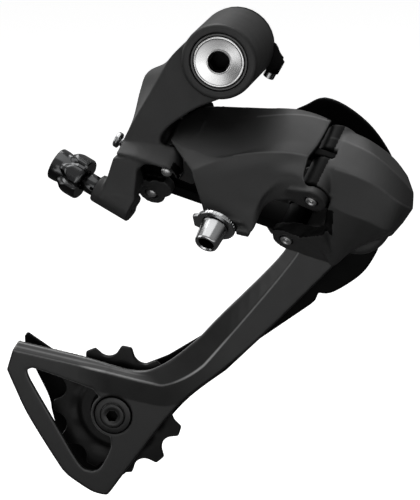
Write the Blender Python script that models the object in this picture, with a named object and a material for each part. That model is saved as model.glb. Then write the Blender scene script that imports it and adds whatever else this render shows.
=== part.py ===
"""Rear bicycle derailleur, modelled piece by piece in Blender.

All sizes below are millimetres. The frame is +X forward on the bike, +Y inboard, +Z up.
The origin is on the mounting bolt's axis, at the outboard face of the frame's hanger.
The links are modelled in a frame of their own: s along the link, t across it in the swing
direction (inboard and down), h along the link pins (inboard and up).
"""
import math

import bmesh
import bpy
from mathutils import Matrix, Vector

for leftover in list(bpy.data.objects):
    bpy.data.objects.remove(leftover)

MM = 0.001
MERGE = 0.005        # points closer than this after a cut are one point
GAP = 0.3            # clearance between pieces that touch, turn or slide on each other
ROUND = 32           # sides of a large round piece
SMALL_ROUND = 16     # sides of a small round piece

# Bracket, mounting bolt and stopper plate
BRACKET_RADIUS = 13.4
BRACKET_FACE = 31.5          # hanger face to the bracket's outboard face
BRACKET_EDGE = 1.2           # rounding of that face's rim
BOLT_HEAD_RADIUS = 9.0
BOLT_HEAD_DEPTH = 4.0
BOLT_RADIUS = 5.0            # M10 mounting thread
BOLT_REACH = 9.5             # thread beyond the hanger's outboard face
BOLT_HEX = 6.0               # key size, across flats
SEAL_WIDTH = 1.0
BUSH_WALL = 1.0
WEB_THICKNESS = 6.0          # wall behind the bolt head that carries the bush
BRACKET_WALL = 2.4
STOPPER_THICKNESS = 2.0
ARM_FRONT = 27.6             # hanger face to the arm's front face
ARM_BACK = 9.0
WING_DEPTH = 18.0            # where the arm is widest
BLOCK_FRONT = 33.0           # hanger face to the front of the block that carries the adjuster
SPRING_WIRE = 2.0
BRACKET_SPRING_TURNS = 4

# Angle screw in the stopper plate's lug
ANGLE_SCREW_AT = (13.0, 0.8, -7.3)
ANGLE_SCREW_TILT = 28.0      # degrees off the vertical
ANGLE_SCREW_RADIUS = 1.6
ANGLE_SCREW_LENGTH = 6.0
ANGLE_HEAD_RADIUS = 2.1
ANGLE_HEAD_LENGTH = 2.6
ANGLE_BOSS_RADIUS = 2.6
ANGLE_BOSS_LENGTH = 5.0

# Link pins: direction, places and lengths
PIN_RISE = 35.5              # degrees above level, going inboard
PIN_TURN = 15.2              # degrees forward, going inboard
PIN_RADIUS = 2.1
PIN_EDGE = 0.4               # rounding of a pin's ends and depth of its dent
PIN_PLACE = (-17.6, -25.35, -36.75)   # outer link's pin on the bracket, where h is 0
LINK_LENGTH = 53.8
INNER_BACK = 8.2             # inner link's pins lie this far behind the outer link's
INNER_ACROSS = 15.0          # and this far across
LOBE_RADIUS = 4.9
INNER_LOBE_RADIUS = 5.0
EAR_RADIUS = 5.3
LINK_BARREL_RADIUS = 5.0
KNUCKLE_BARREL_RADIUS = 5.9   # round shoulder that the link's edge slides over
KNUCKLE_SHOULDER_TOP = 26.8
INNER_BARREL_RADIUS = 4.4
LOWER_LOBE = (-7.6, 2.0)     # h range of the bracket's lower lobe round the outer pin
LINK_BARREL_TOP = 14.0
UPPER_LOBE_THICKNESS = 12.2
YOKE_RISE = 5.0              # wall beside the upper lobe, from the lobe's lower face
PIN_RECESS = 3.9             # radius of the hollow under the hood, round the outer pin's head
PIN_RECESS_DEPTH = 3.0
DRUM_RADIUS = 4.7            # drum below the outer pin
DRUM_PLACE = (-4.2, 10.2)
DRUM_TOP = -2.8
LOWER_EAR = (-4.1, -1.1)     # h range of the outer link's lower ear at the knuckle
KNUCKLE_BARREL_TOP = 12.0
EAR_THICKNESS = 2.9
INNER_LOBE = (-6.1, -2.0)    # bracket's lower lobe round the inner pin
INNER_BARREL_TOP = 3.4
RETURN_SPRING_SPACE = 4.6
RETURN_SPRING_WIRE = 1.1
RETURN_SPRING_TURNS = 1.9
INNER_UPPER_LOBE = 3.4
KNUCKLE_LOBE = (-11.9, -8.0)
KNUCKLE_INNER_TOP = 2.0
KNUCKLE_UPPER_LOBE = 3.6
SWING = 46.0                 # degrees that the links swing inboard
SWEEP_START = 158.0          # the link's end, seen from the knuckle pin: first angle and width in degrees
SWEEP_WIDTH = 89.0
INNER_BAR = (4.4, 2.6)       # inner link bar: height along h, half width across
LINK_WALL = 2.2
ROOT_LOW = -4.5              # h where the link's root beside the bracket starts
INSET = 0.05                 # keeps a cutter's end off the face it meets

# Cable clamp on the outer link
CLAMP_PLACE = (23.8, 4.6)    # s and t of the clamp bolt
CLAMP_FACE = -18.6           # h of the lug's face under the washer
CLAMP_WASHER_RADIUS = 7.2
CLAMP_WASHER_THICKNESS = 1.6
CLAMP_HEAD_RADIUS = 4.9
CLAMP_HEAD_END = 4.1
CLAMP_HEAD_LENGTH = 8.0
CLAMP_BOLT_RADIUS = 2.5
CLAMP_HEX = 5.0
LUG_DEPTH = 7.0
HOOK_WIDTH = 5.0
HOOK_DROP = 2.0

# Barrel adjuster
ADJUSTER_END = (-60.0, -24.5, -40.7)
ADJUSTER_AXIS = (0.894, -0.159, -0.418)
KNOB_RADIUS = 5.4
KNOB_BODY = 7.0
FLANGE_RADIUS = 7.7
FLANGE_FLUTE = 1.0
FLANGE_FLUTES = 6
FLANGE_WIDTH = 5.6
COLLAR_RADIUS = 3.6
COLLAR_LENGTH = 5.0
BOSS_RADIUS = 5.1
BOSS_LENGTH = 15.0
SHANK_RADIUS = 2.3
SHANK_LENGTH = 12.0
CABLE_BORE = 1.1
HOUSING_SEAT = (2.7, 6.0)    # radius and depth of the cable housing's seat
ADJUSTER_SPRING_WIRE = 0.9
ADJUSTER_SPRING_TURNS = 2.4
KNOB_WALL = 1.6              # knob round its spring's hollow
KNOB_FLOOR = 1.0             # from the knob's body to that hollow

# Limit screws
LIMIT_HEAD_AT = (-38.5, -25.0, -30.4)
LIMIT_AXIS = (0.90, -0.10, -0.42)
LIMIT_STEP = (-1.3, 6.0, -1.7)        # from the first limit screw to the second
LIMIT_HEAD_RADIUS = 2.8
LIMIT_HEAD_LENGTH = 2.2
LIMIT_RADIUS = 1.5
LIMIT_LENGTH = 13.0

# Knuckle, cage and pulleys
CAGE_FROM_PIN = (12.64, -12.424)      # x and z of the cage pivot from the outer link's knuckle pin
GUIDE_FROM_PIN = (-5.36, -12.824)     # the same for the guide pulley
TENSION_FROM_PIN = (-81.46, -96.824)  # and for the tension pulley
KNUCKLE_RADIUS = 11.8
KNUCKLE_LENGTH = 25.0
KNUCKLE_WALL = 2.6
KNUCKLE_FLOOR = 4.0                   # more than the wall, under the cage spring
KNUCKLE_BACK = -14.0                  # y where the knuckle's front shell ends
CAGE_AXLE_RADIUS = 4.0
AXLE_HEAD_RADIUS = 6.5
AXLE_HEAD_THICKNESS = 2.0
CAGE_SPRING_TURNS = 4
PLATE_FACE = 1.0                      # y of the outer plate's outboard face
PLATE_THICKNESS = 2.2
FOLD_DEPTH = 3.0                      # the outer plate's folded edge lies this much inboard
PLATE_SPACING = 13.5                  # outboard face of one plate to that of the other
INNER_PLATE_THICKNESS = 2.0
STOP_PIN_RADIUS = 1.9
STOP_PIN_LENGTH = 5.0
STOP_PIN_REACH = 18.0                 # from the cage axis
STOP_PIN_ANGLE = 245.0                # degrees
PULLEY_TEETH = 11
CHAIN_PITCH = 12.7
TOOTH_TIP = 1.6                       # tip circle beyond the pitch circle
TOOTH_TIP_WIDTH = 4.2
ROOT_RADIUS = 4.4                     # hollow between two teeth
ROOT_LIFT = 2.06                      # its centre beyond the pitch circle
ROOT_ARC = 55.0                       # degrees each side of a root's middle
TOOTH_THICKNESS = 2.2
WEB_WIDTH = 4.0
WEB_RADIUS = 13.5
BUSH_RADIUS = 4.2
PULLEY_BOLT_RADIUS = 2.3
PULLEY_HEAD_RADIUS = 6.7
PULLEY_BUTTON_RADIUS = 4.4
PULLEY_HEAD_THICKNESS = 1.1
PULLEY_HEX = 4.0
CAP_RADIUS = 9.5
CAP_THICKNESS = 1.2
WINDOW_BOSS = 8.3                     # radius of the plate left round the tension bolt

# Derived frames and places
turn, rise = math.radians(PIN_TURN), math.radians(PIN_RISE)
PIN_AXIS = Vector((math.sin(turn) * math.cos(rise), math.cos(turn) * math.cos(rise), math.sin(rise)))
ALONG = (Vector((1, 0, 0)) - PIN_AXIS * PIN_AXIS.x).normalized()
ACROSS = PIN_AXIS.cross(ALONG)


def frame(origin, axis_x, axis_y, axis_z):
    """Matrix that takes local millimetres to world millimetres."""
    matrix = Matrix((axis_x, axis_y, axis_z)).transposed().to_4x4()
    matrix.translation = Vector(origin)
    return matrix


def axis_frame(origin, axis):
    """Frame whose z runs along an axis, with x as level as it can be."""
    axis_z = Vector(axis).normalized()
    axis_x = axis_z.cross(Vector((0, 0, 1)) if abs(axis_z.z) < 0.9 else Vector((1, 0, 0))).normalized()
    return frame(origin, axis_x, axis_z.cross(axis_x), axis_z)


LINK = frame(PIN_PLACE, ALONG, ACROSS, PIN_AXIS)
OUTER_B = (0.0, 0.0)
OUTER_P = (LINK_LENGTH, 0.0)
INNER_B = (-INNER_BACK, INNER_ACROSS)
INNER_P = (LINK_LENGTH - INNER_BACK, INNER_ACROSS)
INBOARD = Vector((0, 1, 0))
KNUCKLE_PIN = LINK @ Vector((LINK_LENGTH, 0, 0))


def from_pin(offset):
    """Side-view place given from the outer link's knuckle pin."""
    return (KNUCKLE_PIN.x + offset[0], KNUCKLE_PIN.z + offset[1])


CAGE_AXIS = from_pin(CAGE_FROM_PIN)
GUIDE = from_pin(GUIDE_FROM_PIN)
TENSION = from_pin(TENSION_FROM_PIN)


def y_frame(x, z):
    """Frame with z along +Y at a place in the side view."""
    return frame((x, 0, z), Vector((1, 0, 0)), Vector((0, 0, -1)), INBOARD)


SIDE = frame((0, 0, 0), Vector((1, 0, 0)), Vector((0, 0, 1)), Vector((0, -1, 0)))
ADJUSTER = axis_frame(ADJUSTER_END, ADJUSTER_AXIS)

# Materials by name: base colour, roughness, metallic
FINISHES = {
    "grey_paint": ((0.055, 0.057, 0.060), 0.45, 0.35),
    "black_steel": ((0.012, 0.012, 0.013), 0.45, 0.4),
    "dark_metal": ((0.05, 0.05, 0.052), 0.25, 0.9),
    "steel": ((0.62, 0.62, 0.63), 0.25, 1.0),
    "spring_steel": ((0.35, 0.35, 0.36), 0.35, 1.0),
    "seal_grey": ((0.16, 0.16, 0.165), 0.6, 0.0),
    "black_resin": ((0.02, 0.02, 0.021), 0.55, 0.0),
    "bronze": ((0.45, 0.30, 0.13), 0.4, 1.0),
}


def finish(name):
    """The material of that name, made once."""
    made = bpy.data.materials.get(name)
    if made:
        return made
    colour, roughness, metallic = FINISHES[name]
    made = bpy.data.materials.new(name)
    made.use_nodes = True
    shader = made.node_tree.nodes["Principled BSDF"]
    shader.inputs["Base Color"].default_value = (*colour, 1)
    shader.inputs["Roughness"].default_value = roughness
    shader.inputs["Metallic"].default_value = metallic
    return made


def solid(points, faces):
    """A scratch object from world points in millimetres and their faces, facing outward."""
    mesh = bpy.data.meshes.new("solid")
    mesh.from_pydata([Vector(p) * MM for p in points], [], faces)
    work = bmesh.new()
    work.from_mesh(mesh)
    bmesh.ops.recalc_face_normals(work, faces=work.faces)
    work.to_mesh(mesh)
    work.free()
    made = bpy.data.objects.new("solid", mesh)
    bpy.context.scene.collection.objects.link(made)
    return made


def loft(rings):
    """A closed solid through rings of equally many points."""
    count = len(rings[0])
    points = [p for ring in rings for p in ring]
    faces = [list(range(count)), list(range(len(points) - count, len(points)))]
    for row in range(len(rings) - 1):
        for i in range(count):
            j = (i + 1) % count
            faces.append([row * count + i, row * count + j, (row + 1) * count + j, (row + 1) * count + i])
    return solid(points, faces)


def prism(place, outline, low, high):
    """An outline in a frame's x and y, extruded along its z."""
    return loft([[place @ Vector((a, b, c)) for a, b in outline] for c in (low, high)])


def turned(place, profile, sides=ROUND):
    """A profile of (radius, z) pairs turned about a frame's z."""
    ring = [[place @ Vector((r * math.cos(2 * math.pi * i / sides), r * math.sin(2 * math.pi * i / sides), z))
             for i in range(sides)] for r, z in profile]
    return loft(ring)


def tube_ring(place, inner, outer, low, high, sides=ROUND):
    """A plain ring: four circles joined in a loop."""
    corners = [(inner, low), (outer, low), (outer, high), (inner, high)]
    points = []
    for r, z in corners:
        for i in range(sides):
            angle = 2 * math.pi * i / sides
            points.append(place @ Vector((r * math.cos(angle), r * math.sin(angle), z)))
    faces = []
    for row in range(4):
        nxt = (row + 1) % 4
        for i in range(sides):
            j = (i + 1) % sides
            faces.append([row * sides + i, row * sides + j, nxt * sides + j, nxt * sides + i])
    return solid(points, faces)


def rod(place, radius, low, high, sides=SMALL_ROUND, at=(0.0, 0.0)):
    """A plain round rod along a frame's z, through a point of its x and y."""
    moved = place @ Matrix.Translation((at[0], at[1], 0))
    return turned(moved, [(radius, low), (radius, high)], sides)


def hexagon(across_flats):
    """Corners of a key socket."""
    radius = across_flats / math.sqrt(3)
    return [(radius * math.cos(math.pi * i / 3), radius * math.sin(math.pi * i / 3)) for i in range(6)]


def arc(centre, radius, start, end, steps):
    """Points of an arc, in degrees, both ends included."""
    found = []
    for i in range(steps + 1):
        angle = math.radians(start + (end - start) * i / steps)
        found.append((centre[0] + radius * math.cos(angle), centre[1] + radius * math.sin(angle)))
    return found


def curve_through(points, steps):
    """Points of a smooth curve through the given ones, of any dimension."""
    known = [Vector(p) for p in points]
    found = []
    for i in range(len(known) - 1):
        before, a = known[max(i - 1, 0)], known[i]
        b, after = known[i + 1], known[min(i + 2, len(known) - 1)]
        for k in range(steps):
            u = k / steps
            bend = (b - before) * u + (2 * before - 5 * a + 4 * b - after) * u * u
            found.append(a + (bend + (3 * a - before - 3 * b + after) * u ** 3) / 2)
    return found + [known[-1]]


def finer(rows, along, between, creases):
    """A finer grid: smooth along each row, and smooth from row to row except across the creases."""
    rows = [curve_through(row, along) for row in rows]
    stops = [0] + list(creases) + [len(rows) - 1]
    columns = []
    for c in range(len(rows[0])):
        column = [rows[r][c] for r in range(len(rows))]
        run = []
        for start, end in zip(stops, stops[1:]):
            run += curve_through(column[start:end + 1], between)[:-1]
        columns.append(run + [column[-1]])
    return [[column[r] for column in columns] for r in range(len(columns[0]))]


def grid_faces(rows, columns):
    """Quads of a grid, and the loop of its rim."""
    quads = []
    for r in range(rows - 1):
        for c in range(columns - 1):
            a = r * columns + c
            quads.append([a, a + 1, a + 1 + columns, a + columns])
    rim = list(range(columns)) + [r * columns + columns - 1 for r in range(1, rows)]
    rim += [(rows - 1) * columns + c for c in range(columns - 2, -1, -1)]
    rim += [r * columns for r in range(rows - 2, 0, -1)]
    return quads, rim


def grid_solid(front, back):
    """A closed solid between two grids of equal size."""
    quads, rim = grid_faces(len(front), len(front[0]))
    points = [p for row in front for p in row] + [p for row in back for p in row]
    shift = len(points) // 2
    faces = quads + [[i + shift for i in quad] for quad in quads]
    for i, a in enumerate(rim):
        b = rim[(i + 1) % len(rim)]
        faces.append([a, b, b + shift, a + shift])
    return solid(points, faces)


def grid_offset(grid, wall, toward):
    """The grid moved by a wall's thickness along its own normals, to the side that looks toward."""
    rows, columns = len(grid), len(grid[0])
    moved = []
    for r in range(rows):
        line = []
        for c in range(columns):
            up = grid[max(r - 1, 0)][c] - grid[min(r + 1, rows - 1)][c]
            on = grid[r][min(c + 1, columns - 1)] - grid[r][max(c - 1, 0)]
            normal = up.cross(on).normalized()
            if normal.dot(toward) < 0:
                normal.negate()
            line.append(grid[r][c] + normal * wall)
        moved.append(line)
    return moved


def combine(target, other, operation):
    """Boolean of two solids, kept in the first. The second goes."""
    step = target.modifiers.new("step", "BOOLEAN")
    step.operation = operation
    step.solver = "EXACT"
    step.object = other
    depsgraph = bpy.context.evaluated_depsgraph_get()
    result = bpy.data.meshes.new_from_object(target.evaluated_get(depsgraph))
    target.modifiers.remove(step)
    old = target.data
    target.data = result
    bpy.data.meshes.remove(old)
    bpy.data.objects.remove(other)
    return target


def join(target, *others):
    for other in others:
        combine(target, other, "UNION")
    return target


def cut(target, *others):
    for other in others:
        combine(target, other, "DIFFERENCE")
    return target


def coil(place, radius, wire, low, high, turns, name):
    """A wound spring as one unbroken tube, with its least gap to itself measured and printed."""
    steps = 9
    count = int(turns * steps) + 1
    route = []
    for i in range(count):
        angle = 2 * math.pi * i / steps
        z = low + (high - low) * i / (count - 1)
        route.append(place @ Vector((radius * math.cos(angle), radius * math.sin(angle), z)))
    apart = min((route[i] - route[j]).length for i in range(count) for j in range(i + steps // 2, count))
    print(name, "least gap to itself", round(apart - wire, 2), "mm")
    curve = bpy.data.curves.new(name, "CURVE")
    curve.dimensions = "3D"
    curve.bevel_depth = wire / 2 * MM
    curve.bevel_resolution = 1
    curve.use_fill_caps = True
    spline = curve.splines.new("POLY")
    spline.points.add(count - 1)
    for point, at in zip(spline.points, route):
        point.co = (*(at * MM), 1)
    scratch = bpy.data.objects.new("route", curve)
    bpy.context.scene.collection.objects.link(scratch)
    mesh = bpy.data.meshes.new_from_object(scratch.evaluated_get(bpy.context.evaluated_depsgraph_get()))
    bpy.data.objects.remove(scratch)
    made = bpy.data.objects.new("solid", mesh)
    bpy.context.scene.collection.objects.link(made)
    tidy(mesh)
    return made


def tidy(mesh):
    """Joins points that lie on each other after the cuts, and turns the faces outward."""
    work = bmesh.new()
    work.from_mesh(mesh)
    bmesh.ops.remove_doubles(work, verts=work.verts, dist=MERGE * MM)
    bmesh.ops.dissolve_degenerate(work, edges=work.edges, dist=MERGE * MM)
    bmesh.ops.delete(work, geom=[edge for edge in work.edges if not edge.link_faces], context="EDGES")
    bmesh.ops.recalc_face_normals(work, faces=work.faces)
    work.to_mesh(mesh)
    work.free()


def piece(made, name, material, origin=(0, 0, 0), sharp=35):
    """Names a finished solid, gives it its material and puts its origin on its joint's axis."""
    tidy(made.data)
    made.name = name
    made.data.name = name
    at = Vector(origin) * MM
    made.data.transform(Matrix.Translation(-at))
    made.location = at
    made.data.materials.clear()
    made.data.materials.append(finish(material))
    made.data.shade_smooth()
    made.data.set_sharp_from_angle(angle=math.radians(sharp))
    return made


def place_in_link(s, t, h):
    return LINK @ Vector((s, t, h))


def from_anchor(anchor, offsets):
    """Side-view points given from a pulley's centre."""
    return [(anchor[0] + dx, anchor[1] + dz) for dx, dz in offsets]


BOLT = y_frame(0, 0)


def make_mounting_bolt():
    head_back = -BRACKET_FACE + BOLT_HEAD_DEPTH
    head = [(BOLT_HEAD_RADIUS - 0.5, -BRACKET_FACE), (BOLT_HEAD_RADIUS, -BRACKET_FACE + 0.6),
            (BOLT_HEAD_RADIUS, head_back)]
    thread = [(BOLT_RADIUS, head_back), (BOLT_RADIUS, BOLT_REACH - 1), (BOLT_RADIUS - 1, BOLT_REACH)]
    body = turned(BOLT, head + thread)
    dish = turned(BOLT, [(BOLT_HEX * 0.72, -BRACKET_FACE - 1), (BOLT_HEX * 0.72, -BRACKET_FACE + 0.1),
                         (BOLT_HEX * 0.6, -BRACKET_FACE + 0.9)])
    socket = prism(BOLT, hexagon(BOLT_HEX), -BRACKET_FACE - 1, head_back + 2)
    return piece(cut(body, dish, socket), "mounting_bolt", "steel")


def make_seal_ring():
    inner = BOLT_HEAD_RADIUS + GAP
    low, high = -BRACKET_FACE + 0.4, -BRACKET_FACE + BOLT_HEAD_DEPTH
    ring = tube_ring(BOLT, inner, inner + SEAL_WIDTH - GAP, low, high)
    return piece(ring, "bolt_seal_ring", "seal_grey")


def make_bracket_bush():
    inner = BOLT_RADIUS + GAP
    low = -BRACKET_FACE + BOLT_HEAD_DEPTH + GAP
    ring = tube_ring(BOLT, inner, inner + BUSH_WALL, low, low + WEB_THICKNESS + 1)
    return piece(ring, "bracket_bush", "bronze")


def angle_screw_frame():
    tilt = math.radians(ANGLE_SCREW_TILT)
    return axis_frame(ANGLE_SCREW_AT, (-math.sin(tilt), 0, -math.cos(tilt)))


def make_stopper_plate():
    low, high = -STOPPER_THICKNESS, 0.0
    plate = tube_ring(BOLT, BOLT_RADIUS + GAP, BRACKET_RADIUS - GAP, low, high)
    reach = ANGLE_SCREW_AT[0]
    drop = ANGLE_SCREW_AT[2]
    outline = [(reach - 5, 4), (reach + 0.7, 0.5), (reach + 3.4, drop + 3.2), (reach + 2.8, drop - 0.6),
               (reach - 1.5, drop - 1.6), (reach - 6, drop + 0.5)]
    lug = prism(SIDE, outline, -high + 0.1, -low - 0.1)
    at = angle_screw_frame()
    boss = rod(at, ANGLE_BOSS_RADIUS, -ANGLE_BOSS_LENGTH / 2, ANGLE_BOSS_LENGTH / 2)
    plate = join(plate, lug, boss)
    hole = rod(at, ANGLE_SCREW_RADIUS + GAP, -ANGLE_BOSS_LENGTH * 2, ANGLE_BOSS_LENGTH * 2)
    return piece(cut(plate, hole), "stopper_plate", "black_steel")


def make_angle_screw():
    at = angle_screw_frame()
    seat = ANGLE_BOSS_LENGTH / 2 + GAP
    end = seat + ANGLE_HEAD_LENGTH
    tip = seat - ANGLE_SCREW_LENGTH
    shank = [(ANGLE_SCREW_RADIUS - 0.5, tip), (ANGLE_SCREW_RADIUS, tip + 0.5), (ANGLE_SCREW_RADIUS, seat)]
    head = [(ANGLE_HEAD_RADIUS, seat), (ANGLE_HEAD_RADIUS, end - 0.5), (ANGLE_HEAD_RADIUS - 0.5, end)]
    body = turned(at, shank + head, SMALL_ROUND)
    slot = prism(at, [(-0.35, -1.5), (0.35, -1.5), (0.35, 1.5), (-0.35, 1.5)], end - 1.0, end + 1)
    return piece(cut(body, slot), "body_angle_screw", "steel", ANGLE_SCREW_AT)


def lobe(centre, radius, yoke, low, high):
    """A round lobe in the link frame, run back to a yoke's two corners."""
    towards = Vector(yoke[0]).lerp(Vector(yoke[1]), 0.5) - Vector(centre)
    facing = math.degrees(math.atan2(towards.y, towards.x))
    round_end = arc(centre, radius, facing + 90, facing + 270, 12)
    corners = sorted(yoke, key=lambda corner: towards.cross(Vector(corner) - Vector(centre)))
    return prism(LINK, round_end + corners, low, high)


def make_bracket():
    low = -BRACKET_FACE
    high = -STOPPER_THICKNESS - GAP
    rim = [(BRACKET_RADIUS - BRACKET_EDGE, low), (BRACKET_RADIUS - 0.35 * BRACKET_EDGE, low + 0.3)]
    body = turned(BOLT, rim + [(BRACKET_RADIUS, low + BRACKET_EDGE), (BRACKET_RADIUS, high)], 48)
    right = [(-20.5, -36.0), (-21.6, -30.0), (-19.0, -25.2), (-13.5, -20.8), (-7.3, -17.0), (4.5, -12.0)]
    front = [(-9.5, 8.8), (-17.3, 1.0), (-21.2, -6.0), (-25.2, -13.0), (-33.0, -26.5), (-36.0, -34.5)]
    wing = [(-9.5, 8.8), (-19.0, -2.5), (-28.2, -7.6), (-31.2, -14.5), (-33.9, -25.5), (-38.3, -35.5)]
    back = [(-9.0, 8.0), (-18.0, -3.5), (-26.5, -9.0), (-29.0, -15.5), (-31.5, -25.5), (-34.5, -34.0)]
    rings = []
    for left, depth in ((front, ARM_FRONT), (wing, WING_DEPTH), (back, ARM_BACK)):
        outline = curve_through(left, 3) + curve_through(right, 3)
        rings.append([Vector((point.x, -depth, point.y)) for point in outline])
    arm = loft(rings)
    web = prism(SIDE, [(-37.2, -35.4), (-25.0, -36.6), (-25.4, -39.5), (-28.0, -45.0), (-30.5, -52.0),
                       (-32.4, -56.2), (-42.5, -50.5), (-39.3, -42.0)], WING_DEPTH + 6, BLOCK_FRONT)
    lobe_top = LOWER_LOBE[1]
    hood_edge = -LOBE_RADIUS + 0.02
    hood_outline = [(-17.6, -6.4), (-10.0, -6.4), (-4.8, -5.6), (0.0, hood_edge), (0.0, 1.0), (-15.0, 3.0)]
    hood = prism(LINK, hood_outline, LOWER_LOBE[0] - GAP, lobe_top - 0.2)
    drum = rod(LINK, DRUM_RADIUS, INNER_LOBE[0] - GAP, DRUM_TOP, 24, DRUM_PLACE)
    upper = LINK_BARREL_TOP + GAP
    yoke_edge = -LOBE_RADIUS - 1.2
    yoke = prism(LINK, [(-17.5, -5.8), (yoke_edge, -6.0), (yoke_edge, 7.5), (-13.0, 12.0), (-17.0, 6.0)],
                 LOWER_LOBE[0] + GAP, upper + YOKE_RISE)
    sides = ((yoke_edge - 1, LOBE_RADIUS), (yoke_edge - 4, -LOBE_RADIUS))
    inner_sides = ((-6.9, 6.0), (-14.0, 6.0))
    inner_upper = INNER_BARREL_TOP + RETURN_SPRING_SPACE + GAP
    parts = [lobe(OUTER_B, LOBE_RADIUS, sides, LOWER_LOBE[0], lobe_top),
             lobe(OUTER_B, LOBE_RADIUS, sides, upper, upper + UPPER_LOBE_THICKNESS),
             lobe(INNER_B, INNER_LOBE_RADIUS, inner_sides, INNER_LOBE[0], INNER_LOBE[1]),
             lobe(INNER_B, INNER_LOBE_RADIUS, inner_sides, inner_upper, inner_upper + INNER_UPPER_LOBE)]
    knob_end = KNOB_BODY + FLANGE_WIDTH + COLLAR_LENGTH
    boss = rod(ADJUSTER, BOSS_RADIUS, knob_end, knob_end + BOSS_LENGTH, 24)
    body = join(body, arm, yoke, web, boss, hood, drum, *parts)
    recess = arc(OUTER_B, PIN_RECESS, 262, 360, 7)
    recess += [(6.0, 3.0), (6.0, 6.0), (-9.0, 6.0), (-9.2, -2.0), (-6.5, -3.9)]
    web_back = low + BOLT_HEAD_DEPTH + GAP + WEB_THICKNESS
    cuts = [rod(BOLT, BOLT_HEAD_RADIUS + SEAL_WIDTH + GAP, low - 5, low + BOLT_HEAD_DEPTH + GAP, 32),
            rod(BOLT, BOLT_RADIUS + BUSH_WALL + 2 * GAP, low, 0, 32),
            rod(BOLT, BRACKET_RADIUS - BRACKET_WALL, web_back, 0, 32),
            rod(ADJUSTER, SHANK_RADIUS + GAP, knob_end - 5, knob_end + SHANK_LENGTH + GAP),
            rod(ADJUSTER, CABLE_BORE + GAP, knob_end, knob_end + BOSS_LENGTH + 20, 12),
            rod(LINK, PIN_RADIUS + GAP, LOWER_LOBE[0] - 30, upper + 30, at=OUTER_B),
            prism(LINK, recess, LOWER_LOBE[0] - 20, LOWER_LOBE[0] + PIN_RECESS_DEPTH),
            rod(LINK, PIN_RADIUS + GAP, INNER_LOBE[0] - 30, inner_upper + 30, at=INNER_B),
            rod(LINK, LINK_BARREL_RADIUS + 3 * GAP, lobe_top, upper, 24, OUTER_B),
            rod(LINK, INNER_BARREL_RADIUS + 3 * GAP, INNER_LOBE[1], inner_upper, 24, INNER_B)]
    for step in (0, 1):
        at = limit_frame(step)
        cuts.append(rod(at, LIMIT_RADIUS + GAP, -1, LIMIT_LENGTH + 1))
        cuts.append(rod(at, LIMIT_HEAD_RADIUS + 2 * GAP, -30, GAP))
    return piece(cut(body, *cuts), "bracket_body", "grey_paint")


def limit_frame(step):
    at = Vector(LIMIT_HEAD_AT) + Vector(LIMIT_STEP) * step
    inside = at + Vector(LIMIT_AXIS).normalized() * LIMIT_HEAD_LENGTH
    return axis_frame(inside, LIMIT_AXIS)


def make_limit_screw(step, name):
    at = limit_frame(step)
    top = -LIMIT_HEAD_LENGTH
    head = [(LIMIT_HEAD_RADIUS - 0.9, top), (LIMIT_HEAD_RADIUS, top + 0.9), (LIMIT_HEAD_RADIUS, -GAP)]
    shank = [(LIMIT_RADIUS, -GAP), (LIMIT_RADIUS, LIMIT_LENGTH - 0.5), (LIMIT_RADIUS - 0.5, LIMIT_LENGTH)]
    body = turned(at, head + shank, SMALL_ROUND)
    cross = []
    for across, along in ((1.8, 0.35), (0.35, 1.8)):
        slot = [(-across, -along), (across, -along), (across, along), (-across, along)]
        cross.append(prism(at, slot, -9, top + 1))
    return piece(cut(body, *cross), name, "steel", at.translation)


def make_pin(at, low, high, name):
    """A riveted link pin with a shallow ring dent in its lower end."""
    place = LINK @ Matrix.Translation((at[0], at[1], 0))
    lower = [(PIN_RADIUS - PIN_EDGE, low), (PIN_RADIUS, low + PIN_EDGE)]
    upper = [(PIN_RADIUS, high - PIN_EDGE), (PIN_RADIUS - PIN_EDGE, high)]
    body = turned(place, lower + upper, SMALL_ROUND)
    dent = tube_ring(place, 0.5, 1.1, low - 1, low + PIN_EDGE, SMALL_ROUND)
    return piece(cut(body, dent), name, "steel", place_in_link(at[0], at[1], 0))


# The outer link's shell in bands of rows, each from the bracket to the knuckle: s, t, h.
# The light breaks at the last row of each band: upper ridge, wedge and main ridge; the skirt comes last.
LINK_TOP = (
    ((2.6, -6.4, 19.4), (6.0, -5.8, 22.0), (10.0, -5.3, 23.6), (16.0, -5.2, 25.1), (24.0, -5.4, 26.8),
     (34.0, -5.6, 29.2), (42.0, -5.4, 29.6), (49.4, -5.2, 28.3)),
    ((0.6, -6.6, 16.0), (6.0, -6.5, 17.0), (12.0, -6.6, 17.6), (18.0, -6.8, 18.6), (24.5, -7.0, 21.2),
     (34.5, -7.2, 25.0), (42.0, -7.0, 26.6), (49.6, -6.5, 26.8)),
)
LINK_FACE = (
    ((-1.6, -6.7, 11.4), (6.0, -7.0, 10.6), (13.0, -7.3, 10.2), (20.0, -7.6, 12.5), (27.5, -7.8, 15.4),
     (36.5, -7.8, 18.6), (43.4, -7.5, 20.2), (49.7, -7.0, 20.8)),
    ((-1.4, -6.5, 3.0), (5.5, -7.3, 0.8), (14.5, -8.1, -0.6), (22.0, -8.5, 0.6), (27.5, -8.6, 4.2),
     (33.8, -8.5, 8.8), (41.0, -8.1, 13.4), (49.5, -7.3, 15.2)),
)
LINK_WEDGE = (
    ((11.3, -6.9, -8.0), (13.6, -7.5, -6.8), (18.5, -8.6, -3.2), (24.0, -9.1, 1.0), (30.7, -9.3, 4.0),
     (36.9, -9.3, 6.1), (42.9, -8.8, 7.8), (48.6, -7.7, 9.0)),
)
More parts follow.
